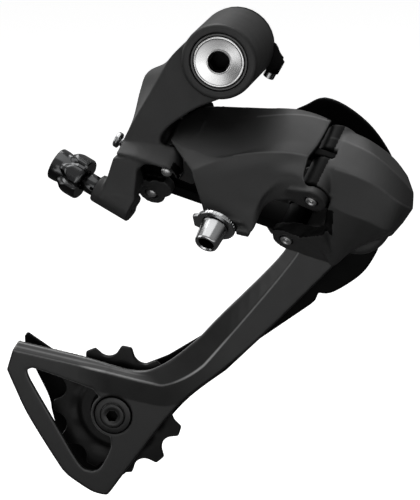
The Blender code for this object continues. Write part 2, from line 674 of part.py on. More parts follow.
LINK_SKIRT = (
    ((13.0, -5.2, -10.6), (17.0, -5.8, -9.6), (22.0, -6.4, -7.6), (27.4, -7.2, -4.6), (33.0, -7.8, -0.8),
     (38.6, -8.1, 2.2), (43.6, -7.8, 4.6), (48.9, -7.2, 5.8)),
    ((15.6, -2.0, -13.8), (21.4, -2.4, -13.6), (28.4, -2.2, -12.8), (34.6, -1.2, -10.4), (37.6, -3.2, -6.3),
     (40.7, -5.8, -2.4), (44.8, -6.8, -0.3), (50.0, -6.6, 0.5)),
    ((17.0, 0.6, -15.6), (23.6, 0.4, -16.4), (31.0, 0.6, -16.8), (36.2, 1.0, -15.0), (37.4, -0.2, -8.6),
     (41.0, -2.2, -4.5), (45.5, -3.0, -2.9), (53.0, -4.8, -2.6)),
    ((18.2, 3.2, -17.2), (25.0, 3.4, -18.0), (33.2, 3.4, -18.2), (37.6, 3.3, -19.4), (38.0, 2.6, -10.2),
     (40.4, 1.8, -6.5), (45.8, 1.2, -4.7), (57.5, -3.4, -3.3)),
)
LINK_DRAWN = 53.8             # link length for which the rows are given


def make_outer_link():
    stretch = LINK_LENGTH / LINK_DRAWN
    rows, creases = [], []
    for band in (LINK_TOP, LINK_FACE, LINK_WEDGE, LINK_SKIRT):
        rows += [[place_in_link(s * stretch, t, h) for s, t, h in row] for row in band]
        creases.append(len(rows) - 1)
    creases.pop()
    inside = grid_offset(rows, LINK_WALL, ACROSS)
    shell = grid_solid(finer(rows, 2, 2, creases), finer(inside, 2, 2, creases))
    barrel_low = LOWER_LOBE[1] + GAP
    barrel = lobe(OUTER_B, LINK_BARREL_RADIUS, ((7.5, -7.4), (9.0, -3.0)), barrel_low, LINK_BARREL_TOP)
    root = prism(LINK, [(2.9, 4.9), (8.5, 6.0), (12.0, 0.0), (13.0, -6.2), (6.5, -6.4), (5.7, 0.0)],
                 ROOT_LOW, LINK_BARREL_TOP - 0.2)
    upper_ear = KNUCKLE_BARREL_TOP + GAP
    ear_end = upper_ear + EAR_THICKNESS
    low_strap = ((LINK_LENGTH - 11.5, 1.6), (LINK_LENGTH - 8.0, -4.0))
    strap = ((LINK_LENGTH - 11.6, -6.8), (LINK_LENGTH - 5.2, -5.6))
    ears = [lobe(OUTER_P, EAR_RADIUS, low_strap, *LOWER_EAR),
            lobe(OUTER_P, KNUCKLE_BARREL_RADIUS - 0.1, strap, upper_ear, ear_end)]
    s, t = CLAMP_PLACE
    hook_from = s + CLAMP_WASHER_RADIUS + 2 * GAP
    hook_end = hook_from + HOOK_WIDTH
    lug_outline = [(s - 4.8, t - 1.5), (s - 2, t - 3.2), (s + 9.3, t - 3.0), (s + 9.3, t + 2),
                   (s + 4, t + 4.2), (s - 4, t + 4.2)]
    lug = prism(LINK, lug_outline, CLAMP_FACE, CLAMP_FACE + LUG_DEPTH)
    hook_outline = [(hook_from, t - 0.8), (hook_end, t - 0.8), (hook_end - 0.5, t + 1.8),
                    (hook_from, t + 1.8)]
    hook = prism(LINK, hook_outline, CLAMP_FACE - HOOK_DROP, CLAMP_FACE + 6)
    body = join(shell, barrel, root, *ears, lug, hook)
    long = 60
    shoulder = KNUCKLE_BARREL_RADIUS + GAP
    cuts = [rod(LINK, PIN_RADIUS + GAP, -long, long, at=OUTER_B),
            rod(LINK, PIN_RADIUS + GAP, -long, long, at=OUTER_P),
            rod(LINK, CLAMP_BOLT_RADIUS + GAP, CLAMP_FACE - 1, CLAMP_FACE + LUG_DEPTH + 3, at=CLAMP_PLACE),
            rod(LINK, LOBE_RADIUS + 2 * GAP, LOWER_LOBE[0] - 20, LOWER_LOBE[1] + GAP, 24, OUTER_B),
            rod(LINK, LOBE_RADIUS + 2 * GAP, LINK_BARREL_TOP, LINK_BARREL_TOP + 20, 24, OUTER_B),
            rod(LINK, shoulder, LOWER_EAR[1] + INSET, upper_ear - INSET, 26, OUTER_P),
            rod(LINK, shoulder, ear_end + INSET, LINK_LENGTH, 26, OUTER_P)]
    return piece(cut(body, *cuts), "outer_link", "grey_paint", place_in_link(0, 0, 0), 25)


def clamp_frame():
    """Frame of the cable clamp bolt: z runs out of the lug's face."""
    at = place_in_link(CLAMP_PLACE[0], CLAMP_PLACE[1], CLAMP_FACE)
    return frame(at, ALONG, -ACROSS, -PIN_AXIS)


def make_clamp_washer():
    at = clamp_frame()
    low, high = GAP, GAP + CLAMP_WASHER_THICKNESS
    ring = tube_ring(at, CLAMP_BOLT_RADIUS + GAP, CLAMP_WASHER_RADIUS, low, high, 24)
    reach = -CLAMP_WASHER_RADIUS - 1.0
    tongue = prism(at, [(reach, -2.6), (-4, -4.2), (-4, 4.2), (reach, 2.6)], low + 0.1, high - 0.1)
    return piece(join(ring, tongue), "cable_clamp_washer", "steel", place_in_link(0, 0, 0))


def make_clamp_bolt():
    at = clamp_frame()
    seat = 2 * GAP + CLAMP_WASHER_THICKNESS
    top = seat + CLAMP_HEAD_LENGTH
    body = turned(at, [(CLAMP_BOLT_RADIUS, -LUG_DEPTH), (CLAMP_BOLT_RADIUS, seat), (CLAMP_HEAD_RADIUS, seat),
                       (CLAMP_HEAD_END, top - 0.5), (CLAMP_HEAD_END - 0.5, top)], 24)
    socket = prism(at, hexagon(CLAMP_HEX), top - 4, top + 1)
    return piece(cut(body, socket), "cable_clamp_bolt", "steel", place_in_link(0, 0, 0))


def make_inner_link():
    low_b = INNER_LOBE[1] + GAP
    low_p = KNUCKLE_LOBE[1] + GAP
    barrels = [rod(LINK, INNER_BARREL_RADIUS, low_b, INNER_BARREL_TOP, 24, INNER_B),
               rod(LINK, INNER_BARREL_RADIUS, low_p, KNUCKLE_INNER_TOP, 24, INNER_P)]
    height, half = INNER_BAR
    rings = []
    ends = ((INNER_B, INNER_BARREL_TOP - GAP - height, INNER_BARREL_TOP - GAP),
            (INNER_P, low_p + GAP, KNUCKLE_INNER_TOP - GAP))
    for (s, t), low, top in ends:
        corners = ((-half, low), (half, low), (half, top), (-half, top))
        rings.append([place_in_link(s, t + side, h) for side, h in corners])
    bar = join(loft(rings), *barrels)
    holes = [rod(LINK, PIN_RADIUS + GAP, -60, 60, at=at) for at in (INNER_B, INNER_P)]
    return piece(cut(bar, *holes), "inner_link", "black_steel", place_in_link(*INNER_B, 0))


def make_return_spring():
    at = LINK @ Matrix.Translation((INNER_B[0], INNER_B[1], 0))
    wire = RETURN_SPRING_WIRE
    low = INNER_BARREL_TOP + GAP + wire / 2
    high = INNER_BARREL_TOP + RETURN_SPRING_SPACE - wire / 2
    radius = (PIN_RADIUS + GAP + INNER_BARREL_RADIUS) / 2
    spring = coil(at, radius, wire, low, high, RETURN_SPRING_TURNS, "link_return_spring")
    return piece(spring, "link_return_spring", "spring_steel", place_in_link(*INNER_B, 0), 80)


KNUCKLE_ROWS = (
    # top edge, upper ridge, crease, lower crease and bottom edge: x, y, z from the link to the front
    ((38.8, -16.6, -22.9), (44.4, -17.6, -25.2), (51.8, -20.0, -27.8),
     (59.8, -21.0, -33.1), (64.6, -20.0, -39.5)),
    ((37.4, -21.7, -26.8), (43.1, -23.4, -27.4), (54.4, -28.0, -30.7),
     (63.4, -29.0, -37.7), (67.6, -25.0, -44.2)),
    ((35.7, -31.0, -34.5), (45.1, -34.0, -35.7), (56.0, -36.0, -39.2),
     (64.6, -35.0, -45.3), (67.9, -28.0, -49.1)),
    ((39.3, -38.0, -46.0), (46.2, -39.0, -48.6), (54.1, -38.0, -51.9),
     (61.2, -35.0, -55.8), (64.6, -27.0, -54.2)),
    ((37.6, -36.0, -63.4), (40.6, -33.0, -70.0), (46.7, -32.0, -65.0),
     (53.3, -30.0, -61.6), (60.3, -26.0, -59.7)),
)
KNUCKLE_DRAWN = (47.6, -56.0, 11.8)   # cage pivot's x and z, and the radius, for which the rows are given
# Sections of the knuckle's sole along the link: s, then t of its far edge, crease and end
KNUCKLE_SOLE = (
    (40.5, 12.0, 11.4, 16.0), (41.3, 11.2, 10.6, 17.6), (42.8, 10.2, 9.8, 19.0), (45.5, 9.2, 9.2, 20.0),
    (49.3, 7.2, 10.8, 20.6), (53.9, 6.9, 14.6, 21.4), (59.2, 7.2, 19.0, 22.0), (62.0, 8.5, 21.0, 22.4),
)


def make_knuckle():
    centre = Vector((CAGE_AXIS[0], 0, CAGE_AXIS[1]))
    drawn_x, drawn_z, drawn_radius = KNUCKLE_DRAWN
    scale = KNUCKLE_RADIUS / drawn_radius
    rows = [[centre + Vector(((x - drawn_x) * scale, y, (z - drawn_z) * scale)) for x, y, z in row]
            for row in KNUCKLE_ROWS]
    surface = finer(rows, 2, 1, [1, 2, 3])
    flat = [[Vector((p.x, KNUCKLE_BACK, p.z)).lerp(centre + Vector((0, KNUCKLE_BACK, 0)), 0.12) for p in row]
            for row in surface]
    front = grid_solid(surface, flat)
    at = y_frame(*CAGE_AXIS)
    near = PLATE_FACE - GAP
    housing = turned(at, [(KNUCKLE_RADIUS - 2, -KNUCKLE_LENGTH), (KNUCKLE_RADIUS, -KNUCKLE_LENGTH + 2),
                          (KNUCKLE_RADIUS, near)], 40)
    barrel_low = LOWER_EAR[1] + GAP
    shoulder = rod(LINK, KNUCKLE_BARREL_RADIUS, barrel_low, KNUCKLE_SHOULDER_TOP, 32, OUTER_P)
    s, t = OUTER_P
    neck = prism(LINK, [(s - 1, t - 2.5), (s + 9, t - 1), (s + 12, t + 12), (s - 1, t + 4)],
                 barrel_low + 0.2, KNUCKLE_BARREL_TOP - 0.2)
    body = join(front, housing, neck)
    lobe_top = KNUCKLE_INNER_TOP + GAP
    yoke_from = INNER_P[0] + INNER_BARREL_RADIUS + 1.0
    yoke = prism(LINK, [(yoke_from, 11.5), (yoke_from + 9, 7.0), (yoke_from + 12, 20.0), (yoke_from, 20.0)],
                 KNUCKLE_LOBE[0] + GAP, lobe_top + KNUCKLE_UPPER_LOBE)
    # the link's sweep past the knuckle and its lower ear are cleared before shoulder, sole and lobe are added
    sweep_end = SWEEP_START + SWEEP_WIDTH + SWING
    sweep = prism(LINK, arc(OUTER_P, KNUCKLE_BARREL_RADIUS - GAP, SWEEP_START, sweep_end, 14)
                  + arc(OUTER_P, LINK_LENGTH, sweep_end, SWEEP_START, 8), -LINK_LENGTH, LINK_LENGTH)
    upper_ear = KNUCKLE_BARREL_TOP + GAP
    ear_low = LOWER_EAR[0] - LINK_LENGTH
    body = cut(body, sweep, rod(LINK, EAR_RADIUS + 3 * GAP, ear_low, barrel_low + GAP / 2, 24, OUTER_P))
    slot_top = upper_ear + EAR_THICKNESS + GAP
    slot = rod(LINK, KNUCKLE_BARREL_RADIUS + GAP + INSET, KNUCKLE_BARREL_TOP, slot_top, 32, OUTER_P)
    body = cut(join(body, shoulder), slot)
    shift = LINK_LENGTH - LINK_DRAWN
    low, high = KNUCKLE_LOBE
    rings = []
    for s, far, crease, end in KNUCKLE_SOLE:
        corners = ((far, high), (crease, low), (end, low), (end, high))
        rings.append([place_in_link(s + shift, t, h) for t, h in corners])
    sides = ((yoke_from + 1, 10.0), (yoke_from + 1, 20.0))
    upper_lobe = lobe(INNER_P, INNER_LOBE_RADIUS, sides, lobe_top, lobe_top + KNUCKLE_UPPER_LOBE)
    body = join(body, yoke, loft(rings), upper_lobe)
    chamber = -KNUCKLE_LENGTH + KNUCKLE_WALL + KNUCKLE_FLOOR
    more = [rod(LINK, PIN_RADIUS + GAP, -40, upper_ear + EAR_THICKNESS + 2 * GAP, at=OUTER_P),
            rod(LINK, PIN_RADIUS + GAP, -40, 40, at=INNER_P),
            rod(LINK, INNER_BARREL_RADIUS + 2 * GAP, KNUCKLE_LOBE[1] + INSET, lobe_top - INSET, 24, INNER_P),
            rod(at, KNUCKLE_RADIUS - KNUCKLE_WALL, chamber, near + 5, 32),
            rod(at, CAGE_AXLE_RADIUS + GAP, chamber - 4, near + 5, 24)]
    return piece(cut(body, *more), "knuckle_body", "grey_paint", place_in_link(*OUTER_P, 0), 25)


def make_cage_spring():
    at = y_frame(*CAGE_AXIS)
    low = -KNUCKLE_LENGTH + KNUCKLE_WALL + KNUCKLE_FLOOR + GAP + SPRING_WIRE / 2
    high = PLATE_FACE - 2 * GAP - SPRING_WIRE / 2
    radius = (CAGE_AXLE_RADIUS + KNUCKLE_RADIUS - KNUCKLE_WALL) / 2
    spring = coil(at, radius, SPRING_WIRE, low, high, CAGE_SPRING_TURNS, "cage_spring")
    return piece(spring, "cage_spring", "spring_steel", place_in_link(*OUTER_P, 0), 80)


def make_bracket_spring():
    low = -BRACKET_FACE + BOLT_HEAD_DEPTH + GAP + WEB_THICKNESS + 2 * GAP + SPRING_WIRE / 2 + 1
    high = -STOPPER_THICKNESS - 2 * GAP - SPRING_WIRE / 2
    radius = (BOLT_RADIUS + BRACKET_RADIUS - BRACKET_WALL) / 2
    spring = coil(BOLT, radius, SPRING_WIRE, low, high, BRACKET_SPRING_TURNS, "bracket_spring")
    return piece(spring, "bracket_spring", "spring_steel", (0, 0, 0), 80)


CAGE_ORIGIN = (CAGE_AXIS[0], 0, CAGE_AXIS[1])
# The outer plate's lines in the side view, from the tension pulley (T) or the guide pulley (G)
RIDGE_T = [(-35.3, 22.3), (-10.6, 17.7), (12.8, 13.4), (20.6, 13.2), (31.0, 18.8), (39.8, 28.4)]
EDGE_T = [(-36.2, 24.6), (-10.0, 20.0), (8.0, 16.6), (18.0, 19.6), (30.0, 29.3), (38.2, 38.2)]
RIDGE_G = [(-8.8, -20.3), (-6.0, -9.0)]
EDGE_G = [(-13.9, -19.7), (-11.0, -8.0)]
HEAD_G = [(-9.5, 5.0), (-6.0, 12.0), (4.0, 15.0)]
OUTER_EDGE_G = [(4.3, -23.7)]
OUTER_EDGE_T = [(53.7, 31.9), (39.8, 18.8), (23.2, 4.0), (4.5, -21.3), (-1.4, -29.6), (-3.1, -30.7),
                (-7.7, -29.9), (-13.0, -27.0), (-17.7, -23.7), (-21.4, -19.0), (-31.8, -2.5),
                (-36.9, 8.2), (-39.7, 14.6)]
WINDOW_RIM = [(-0.8, -12.1), (-2.2, -15.7), (-4.5, -19.9), (-6.1, -21.3), (-8.7, -21.8), (-12.9, -19.4),
              (-21.3, -5.6), (-29.5, 8.3), (-31.6, 12.3), (-32.1, 14.6), (-30.8, 15.4), (-28.9, 15.5),
              (-19.6, 12.9), (-7.5, 9.2)]


def make_outer_plate():
    ridge = [tuple(p) for p in curve_through(from_anchor(TENSION, RIDGE_T) + from_anchor(GUIDE, RIDGE_G), 3)]
    edge = [tuple(p) for p in curve_through(from_anchor(TENSION, EDGE_T) + from_anchor(GUIDE, EDGE_G), 3)]
    head = from_anchor(GUIDE, HEAD_G) + arc(CAGE_AXIS, KNUCKLE_RADIUS - 1, 75, -100, 8)
    lower = from_anchor(GUIDE, OUTER_EDGE_G) + from_anchor(TENSION, OUTER_EDGE_T)
    outline = ridge + head + [tuple(p) for p in curve_through(lower, 2)]
    n, m = len(outline), len(edge)
    points = []
    for depth in (PLATE_FACE, PLATE_FACE + PLATE_THICKNESS):
        points += [Vector((x, depth, z)) for x, z in outline]
        points += [Vector((x, depth + FOLD_DEPTH, z)) for x, z in edge]
    layer = n + m
    faces = []
    for base in (0, layer):
        faces.append([base + i for i in range(n)])
        for i in range(m - 1):
            faces.append([base + i, base + i + 1, base + n + i + 1, base + n + i])
    border = list(range(m - 1, n)) + [0] + [n + i for i in range(m)]
    for i, a in enumerate(border):
        b = border[(i + 1) % len(border)]
        faces.append([a, b, b + layer, a + layer])
    plate = solid(points, faces)
    boss = arc((0, 0), WINDOW_BOSS, 128, 262, 9)
    rim = [tuple(point) for point in curve_through(WINDOW_RIM, 2)]
    window = from_anchor(TENSION, boss + rim)
    low, high = -PLATE_FACE - 20, -PLATE_FACE + 20
    cuts = [prism(SIDE, window, low, high)]
    for x, z in (GUIDE, TENSION):
        at = y_frame(x, z)
        cuts.append(rod(at, PULLEY_BOLT_RADIUS + GAP, -20, 20))
        cuts.append(rod(at, PULLEY_HEAD_RADIUS + GAP, -20, PLATE_FACE + PULLEY_HEAD_THICKNESS, 28))
    cuts.append(rod(y_frame(*CAGE_AXIS), CAGE_AXLE_RADIUS + GAP, -20, 20, 24))
    pin = stop_pin_frame()
    cuts.append(rod(pin, STOP_PIN_RADIUS + GAP, -20, 20))
    return piece(cut(plate, *cuts), "outer_cage_plate", "grey_paint", CAGE_ORIGIN, 25)


def stop_pin_frame():
    angle = math.radians(STOP_PIN_ANGLE)
    x, z = STOP_PIN_REACH * math.cos(angle), STOP_PIN_REACH * math.sin(angle)
    return y_frame(CAGE_AXIS[0] + x, CAGE_AXIS[1] + z)


def make_stop_pin():
    at = stop_pin_frame()
    back = PLATE_FACE + PLATE_THICKNESS
    pin = turned(at, [(STOP_PIN_RADIUS, PLATE_FACE - STOP_PIN_LENGTH), (STOP_PIN_RADIUS, back + GAP),
                      (STOP_PIN_RADIUS + 1, back + GAP), (STOP_PIN_RADIUS + 1, back + 1.2)], SMALL_ROUND)
    return piece(pin, "cage_stop_pin", "steel", CAGE_ORIGIN)


# The inner plate's outline from the two pulleys' centres: round head, arm, round tail and upper corner
INNER_HEAD_G = [(-8.0, -22.0), (-15.0, -8.0), (-19.5, 10.0), (-16.0, 26.0), (-7.8, 32.0), (-1.7, 34.6),
                (5.9, 32.2), (14.3, 26.1), (20.5, 18.4), (24.0, 11.0), (25.6, 0.0), (23.0, -9.0),
                (19.7, -15.3), (17.3, -21.8), (12.1, -29.5), (2.1, -36.6), (-3.3, -37.2)]
INNER_ARM_G = [(-4.5, -40.2), (-6.2, -41.8)]
INNER_ARM_T = [(51.4, 28.2)]
INNER_TAIL_T = [(39.0, 15.6), (23.0, 2.0), (6.0, -20.0), (0.5, -27.0), (-6.0, -29.8), (-11.5, -28.0),
                (-18.0, -22.8), (-23.6, -13.8), (-26.3, -5.0), (-27.6, 1.2), (-32.2, 10.6), (-35.8, 18.5),
                (-36.6, 23.5)]
INNER_CORNER_T = [(-35.6, 25.0), (-25.0, 18.3), (-8.0, 14.5), (8.0, 15.5), (17.2, 19.7), (29.1, 27.6),
                  (44.0, 38.0)]


def make_inner_plate():
    low = PLATE_FACE + PLATE_SPACING
    high = low + INNER_PLATE_THICKNESS
    head = [tuple(point) for point in curve_through(from_anchor(GUIDE, INNER_HEAD_G), 2)]
    arm = from_anchor(GUIDE, INNER_ARM_G) + from_anchor(TENSION, INNER_ARM_T)
    tail = [tuple(point) for point in curve_through(from_anchor(TENSION, INNER_TAIL_T), 2)]
    corner = from_anchor(TENSION, INNER_CORNER_T)
    plate = prism(SIDE, head + arm + tail + corner, -high, -low)
    cuts = [rod(y_frame(x, z), PULLEY_BOLT_RADIUS + GAP, 0, 40) for x, z in (GUIDE, TENSION)]
    return piece(cut(plate, *cuts), "inner_cage_plate", "black_steel", CAGE_ORIGIN)


def make_cage_axle():
    at = y_frame(*CAGE_AXIS)
    seat = PLATE_FACE + PLATE_THICKNESS + GAP
    axle = turned(at, [(CAGE_AXLE_RADIUS - 0.5, -KNUCKLE_LENGTH + KNUCKLE_WALL + 0.6),
                       (CAGE_AXLE_RADIUS, -KNUCKLE_LENGTH + KNUCKLE_WALL + 1.1), (CAGE_AXLE_RADIUS, seat),
                       (AXLE_HEAD_RADIUS, seat), (AXLE_HEAD_RADIUS, seat + AXLE_HEAD_THICKNESS)], 24)
    return piece(axle, "cage_axle", "steel", CAGE_ORIGIN)


MID = PLATE_FACE + (PLATE_SPACING + PLATE_THICKNESS) / 2     # y of the pulleys' mid-plane


def pulley_outline(sides_per_tooth=6):
    """Tooth outline: a root arc for each roller and a narrow tip between."""
    pitch_radius = CHAIN_PITCH / 2 / math.sin(math.pi / PULLEY_TEETH)
    tip = pitch_radius + TOOTH_TIP
    found = []
    for tooth in range(PULLEY_TEETH):
        middle = 2 * math.pi * tooth / PULLEY_TEETH
        for i in range(sides_per_tooth + 1):
            # angle on the roller's circle, from one flank through the root to the other
            swing = math.radians(ROOT_ARC * (2 * i / sides_per_tooth - 1))
            x = pitch_radius + ROOT_LIFT - ROOT_RADIUS * math.cos(swing)
            y = ROOT_RADIUS * math.sin(swing)
            cosine, sine = math.cos(middle), math.sin(middle)
            found.append((x * cosine - y * sine, x * sine + y * cosine))
        for side in (-1, 1):
            angle = middle + math.pi / PULLEY_TEETH + side * TOOTH_TIP_WIDTH / 2 / tip
            found.append((tip * math.cos(angle), tip * math.sin(angle)))
    return found


def make_pulley(at, name):
    place = y_frame(*at)
    disc = prism(place, pulley_outline(), MID - TOOTH_THICKNESS / 2, MID + TOOTH_THICKNESS / 2)
    hub = tube_ring(place, BUSH_RADIUS + GAP, WEB_RADIUS, MID - WEB_WIDTH / 2, MID + WEB_WIDTH / 2)
    body = join(disc, hub)
    body = cut(body, rod(place, BUSH_RADIUS + GAP, 0, 30, ROUND))
    return piece(body, name, "black_resin", (at[0], 0, at[1]))


def make_pulley_set(at, name):
    """Bush, bolt and two dust caps of one pulley."""
    place = y_frame(*at)
    low = PLATE_FACE + PLATE_THICKNESS + GAP
    high = PLATE_FACE + PLATE_SPACING - GAP
    bush = tube_ring(place, PULLEY_BOLT_RADIUS + GAP, BUSH_RADIUS, low, high, SMALL_ROUND)
    piece(bush, name + "_bush", "steel", CAGE_ORIGIN)
    head = PLATE_FACE + PULLEY_HEAD_THICKNESS - GAP
    face = head - PULLEY_HEAD_THICKNESS
    end = PLATE_FACE + PLATE_SPACING + INNER_PLATE_THICKNESS
    button = [(PULLEY_BUTTON_RADIUS - 0.4, face - 0.9), (PULLEY_BUTTON_RADIUS, face - 0.5),
              (PULLEY_BUTTON_RADIUS, face)]
    flange = [(PULLEY_HEAD_RADIUS, face), (PULLEY_HEAD_RADIUS, head)]
    shank = [(PULLEY_BOLT_RADIUS, head), (PULLEY_BOLT_RADIUS, end)]
    bolt = turned(place, button + flange + shank, 28)
    socket = prism(place, hexagon(PULLEY_HEX), face - 2, head + 1.2)
    piece(cut(bolt, socket), name + "_bolt", "dark_metal", CAGE_ORIGIN)
    inner = BUSH_RADIUS + GAP
    clear = WEB_WIDTH / 2 + GAP
    for low, side in ((MID - clear - CAP_THICKNESS, "_outer_cap"), (MID + clear, "_inner_cap")):
        cap = tube_ring(place, inner, CAP_RADIUS, low, low + CAP_THICKNESS, 24)
        piece(cap, name + side, "black_steel", CAGE_ORIGIN)


def make_barrel_adjuster():
    body = turned(ADJUSTER, [(KNOB_RADIUS - 0.8, 0), (KNOB_RADIUS, 0.8), (KNOB_RADIUS, KNOB_BODY * 0.55),
                             (KNOB_RADIUS - 0.9, KNOB_BODY * 0.8), (KNOB_RADIUS - 0.2, KNOB_BODY + 0.6)], 32)
    flange = []
    for i in range(FLANGE_FLUTES * 6):
        angle = 2 * math.pi * i / (FLANGE_FLUTES * 6)
        radius = FLANGE_RADIUS - FLANGE_FLUTE * (1 - abs(math.cos(FLANGE_FLUTES * angle / 2)) ** 1.5)
        flange.append((radius * math.cos(angle), radius * math.sin(angle)))
    low, high = KNOB_BODY, KNOB_BODY + FLANGE_WIDTH - GAP
    small = [(a * 0.86, b * 0.86) for a, b in flange]
    steps = ((small, low - 0.6), (flange, low + 1.2), (flange, high - 1.0), (small, high))
    rim = loft([[ADJUSTER @ Vector((a, b, z)) for a, b in ring] for ring, z in steps])
    shank = rod(ADJUSTER, SHANK_RADIUS, KNOB_BODY, KNOB_BODY + FLANGE_WIDTH + COLLAR_LENGTH + SHANK_LENGTH)
    cavity = rod(ADJUSTER, KNOB_RADIUS - KNOB_WALL, KNOB_BODY + KNOB_FLOOR, high + 1, 24)
    body = cut(join(body, rim), cavity)
    body = join(body, shank)
    seat, depth = HOUSING_SEAT
    body = cut(body, rod(ADJUSTER, seat, -1, depth), rod(ADJUSTER, CABLE_BORE, depth - 1, 80, 12))
    return piece(body, "barrel_adjuster", "dark_metal", ADJUSTER_END)


def make_adjuster_collar():
    low = KNOB_BODY + FLANGE_WIDTH + GAP
    high = KNOB_BODY + FLANGE_WIDTH + COLLAR_LENGTH - GAP
    ring = tube_ring(ADJUSTER, SHANK_RADIUS + GAP, COLLAR_RADIUS, low, high, 24)
    notches = []
    for i in range(4):
        turn_by = ADJUSTER @ Matrix.Rotation(math.pi * i / 2, 4, "Z")
        notches.append(prism(turn_by, [(2, -0.6), (9, -0.6), (9, 0.6), (2, 0.6)], high - 1.2, high + 1))
    return piece(cut(ring, *notches), "adjuster_collar", "dark_metal")


def make_adjuster_spring():
    radius = (SHANK_RADIUS + KNOB_RADIUS - KNOB_WALL) / 2
    wire = ADJUSTER_SPRING_WIRE
    low = KNOB_BODY + KNOB_FLOOR + GAP + wire / 2
    high = KNOB_BODY + FLANGE_WIDTH - GAP - wire / 2
    spring = coil(ADJUSTER, radius, wire, low, high, ADJUSTER_SPRING_TURNS, "adjuster_spring")
    return piece(spring, "adjuster_spring", "spring_steel", (0, 0, 0), 80)


make_mounting_bolt()
make_seal_ring()
make_bracket_bush()
make_stopper_plate()
make_angle_screw()
make_bracket()
make_bracket_spring()
make_limit_screw(0, "high_limit_screw")
make_limit_screw(1, "low_limit_screw")
make_barrel_adjuster()
make_adjuster_collar()
make_adjuster_spring()
upper_end = LINK_BARREL_TOP + GAP + UPPER_LOBE_THICKNESS
inner_end = INNER_BARREL_TOP + RETURN_SPRING_SPACE + GAP + INNER_UPPER_LOBE
make_pin(OUTER_B, LOWER_LOBE[0] + 0.4, upper_end, "outer_bracket_pin")
make_pin(INNER_B, INNER_LOBE[0] - 0.4, inner_end, "inner_bracket_pin")
make_return_spring()
make_outer_link()
make_clamp_washer()
make_clamp_bolt()
make_inner_link()
make_knuckle()
make_pin(OUTER_P, LOWER_EAR[0] - 0.5, KNUCKLE_BARREL_TOP + GAP + EAR_THICKNESS, "outer_knuckle_pin")
make_pin(INNER_P, KNUCKLE_LOBE[0] - 0.4, KNUCKLE_INNER_TOP + GAP + KNUCKLE_UPPER_LOBE, "inner_knuckle_pin")
make_cage_spring()
make_outer_plate()
make_inner_plate()
make_cage_axle()
make_stop_pin()
make_pulley_set(GUIDE, "guide_pulley")
make_pulley_set(TENSION, "tension_pulley")
make_pulley(GUIDE, "guide_pulley")
make_pulley(TENSION, "tension_pulley")
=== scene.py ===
# %% [markdown]
# # A rear bicycle derailleur, dressed for its portrait
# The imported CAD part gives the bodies, the joints and the sizes. This lesson builds the visible
# pieces around it: softened castings, a folded cage plate, toothed wheels, wound springs and
# turned steel, each with its own procedural finish. All sizes below are in millimetres and turn
# into metres in one place, where a mesh is made.

# %% Load the frame
import math

import bmesh
import bpy
import numpy as np
from mathutils import Matrix, Vector


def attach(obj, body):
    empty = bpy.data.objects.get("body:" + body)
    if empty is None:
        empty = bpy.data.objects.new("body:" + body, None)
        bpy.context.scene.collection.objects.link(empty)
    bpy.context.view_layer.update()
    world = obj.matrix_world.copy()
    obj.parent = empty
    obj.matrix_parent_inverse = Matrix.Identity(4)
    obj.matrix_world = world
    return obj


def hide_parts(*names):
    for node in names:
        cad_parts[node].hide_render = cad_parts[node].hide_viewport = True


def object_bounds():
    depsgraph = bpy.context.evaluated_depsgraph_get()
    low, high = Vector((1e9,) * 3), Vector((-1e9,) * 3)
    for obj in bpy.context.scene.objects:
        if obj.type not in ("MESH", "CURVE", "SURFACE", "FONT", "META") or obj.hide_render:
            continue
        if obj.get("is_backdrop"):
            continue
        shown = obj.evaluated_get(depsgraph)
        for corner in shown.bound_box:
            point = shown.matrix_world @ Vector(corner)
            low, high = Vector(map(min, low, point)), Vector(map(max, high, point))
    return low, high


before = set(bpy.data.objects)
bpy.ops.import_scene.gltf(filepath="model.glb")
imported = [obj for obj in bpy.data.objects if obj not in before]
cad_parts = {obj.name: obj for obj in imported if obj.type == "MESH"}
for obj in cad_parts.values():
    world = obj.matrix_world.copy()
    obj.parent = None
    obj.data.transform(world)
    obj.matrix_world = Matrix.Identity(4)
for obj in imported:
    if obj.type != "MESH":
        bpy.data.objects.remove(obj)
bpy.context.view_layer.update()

MM = 0.001
GAP = 0.3

# %% [markdown]
# ## Frames to build in
# The four link pins share one slanted direction. Everything on the links is drawn in a frame of
# their own: s along the link, t across it in the swing direction, h along the pins. Round pieces
# get a frame with z on their axis.

# %% Frames of the links, the mounting bolt and the adjuster
PIN_RISE, PIN_TURN = math.radians(35.5), math.radians(15.2)
PIN_AXIS = Vector((math.sin(PIN_TURN) * math.cos(PIN_RISE), math.cos(PIN_TURN) * math.cos(PIN_RISE),
                   math.sin(PIN_RISE)))
ALONG = (Vector((1, 0, 0)) - PIN_AXIS * PIN_AXIS.x).normalized()
ACROSS = PIN_AXIS.cross(ALONG)


def frame_from(origin, axis_x, axis_y, axis_z):
    """Matrix that takes local millimetres to world millimetres."""
    matrix = Matrix((axis_x, axis_y, axis_z)).transposed().to_4x4()
    matrix.translation = Vector(origin)
    return matrix


def axis_frame(origin, axis):
    """Frame whose z runs along an axis, with x as level as it can be."""
    axis_z = Vector(axis).normalized()
    side = Vector((0, 0, 1)) if abs(axis_z.z) < 0.9 else Vector((1, 0, 0))
    axis_x = axis_z.cross(side).normalized()
    return frame_from(origin, axis_x, axis_z.cross(axis_x), axis_z)


def side_frame(x, z):
    """Frame with z along +Y, at a place in the side view."""
    return frame_from((x, 0, z), Vector((1, 0, 0)), Vector((0, 0, -1)), Vector((0, 1, 0)))


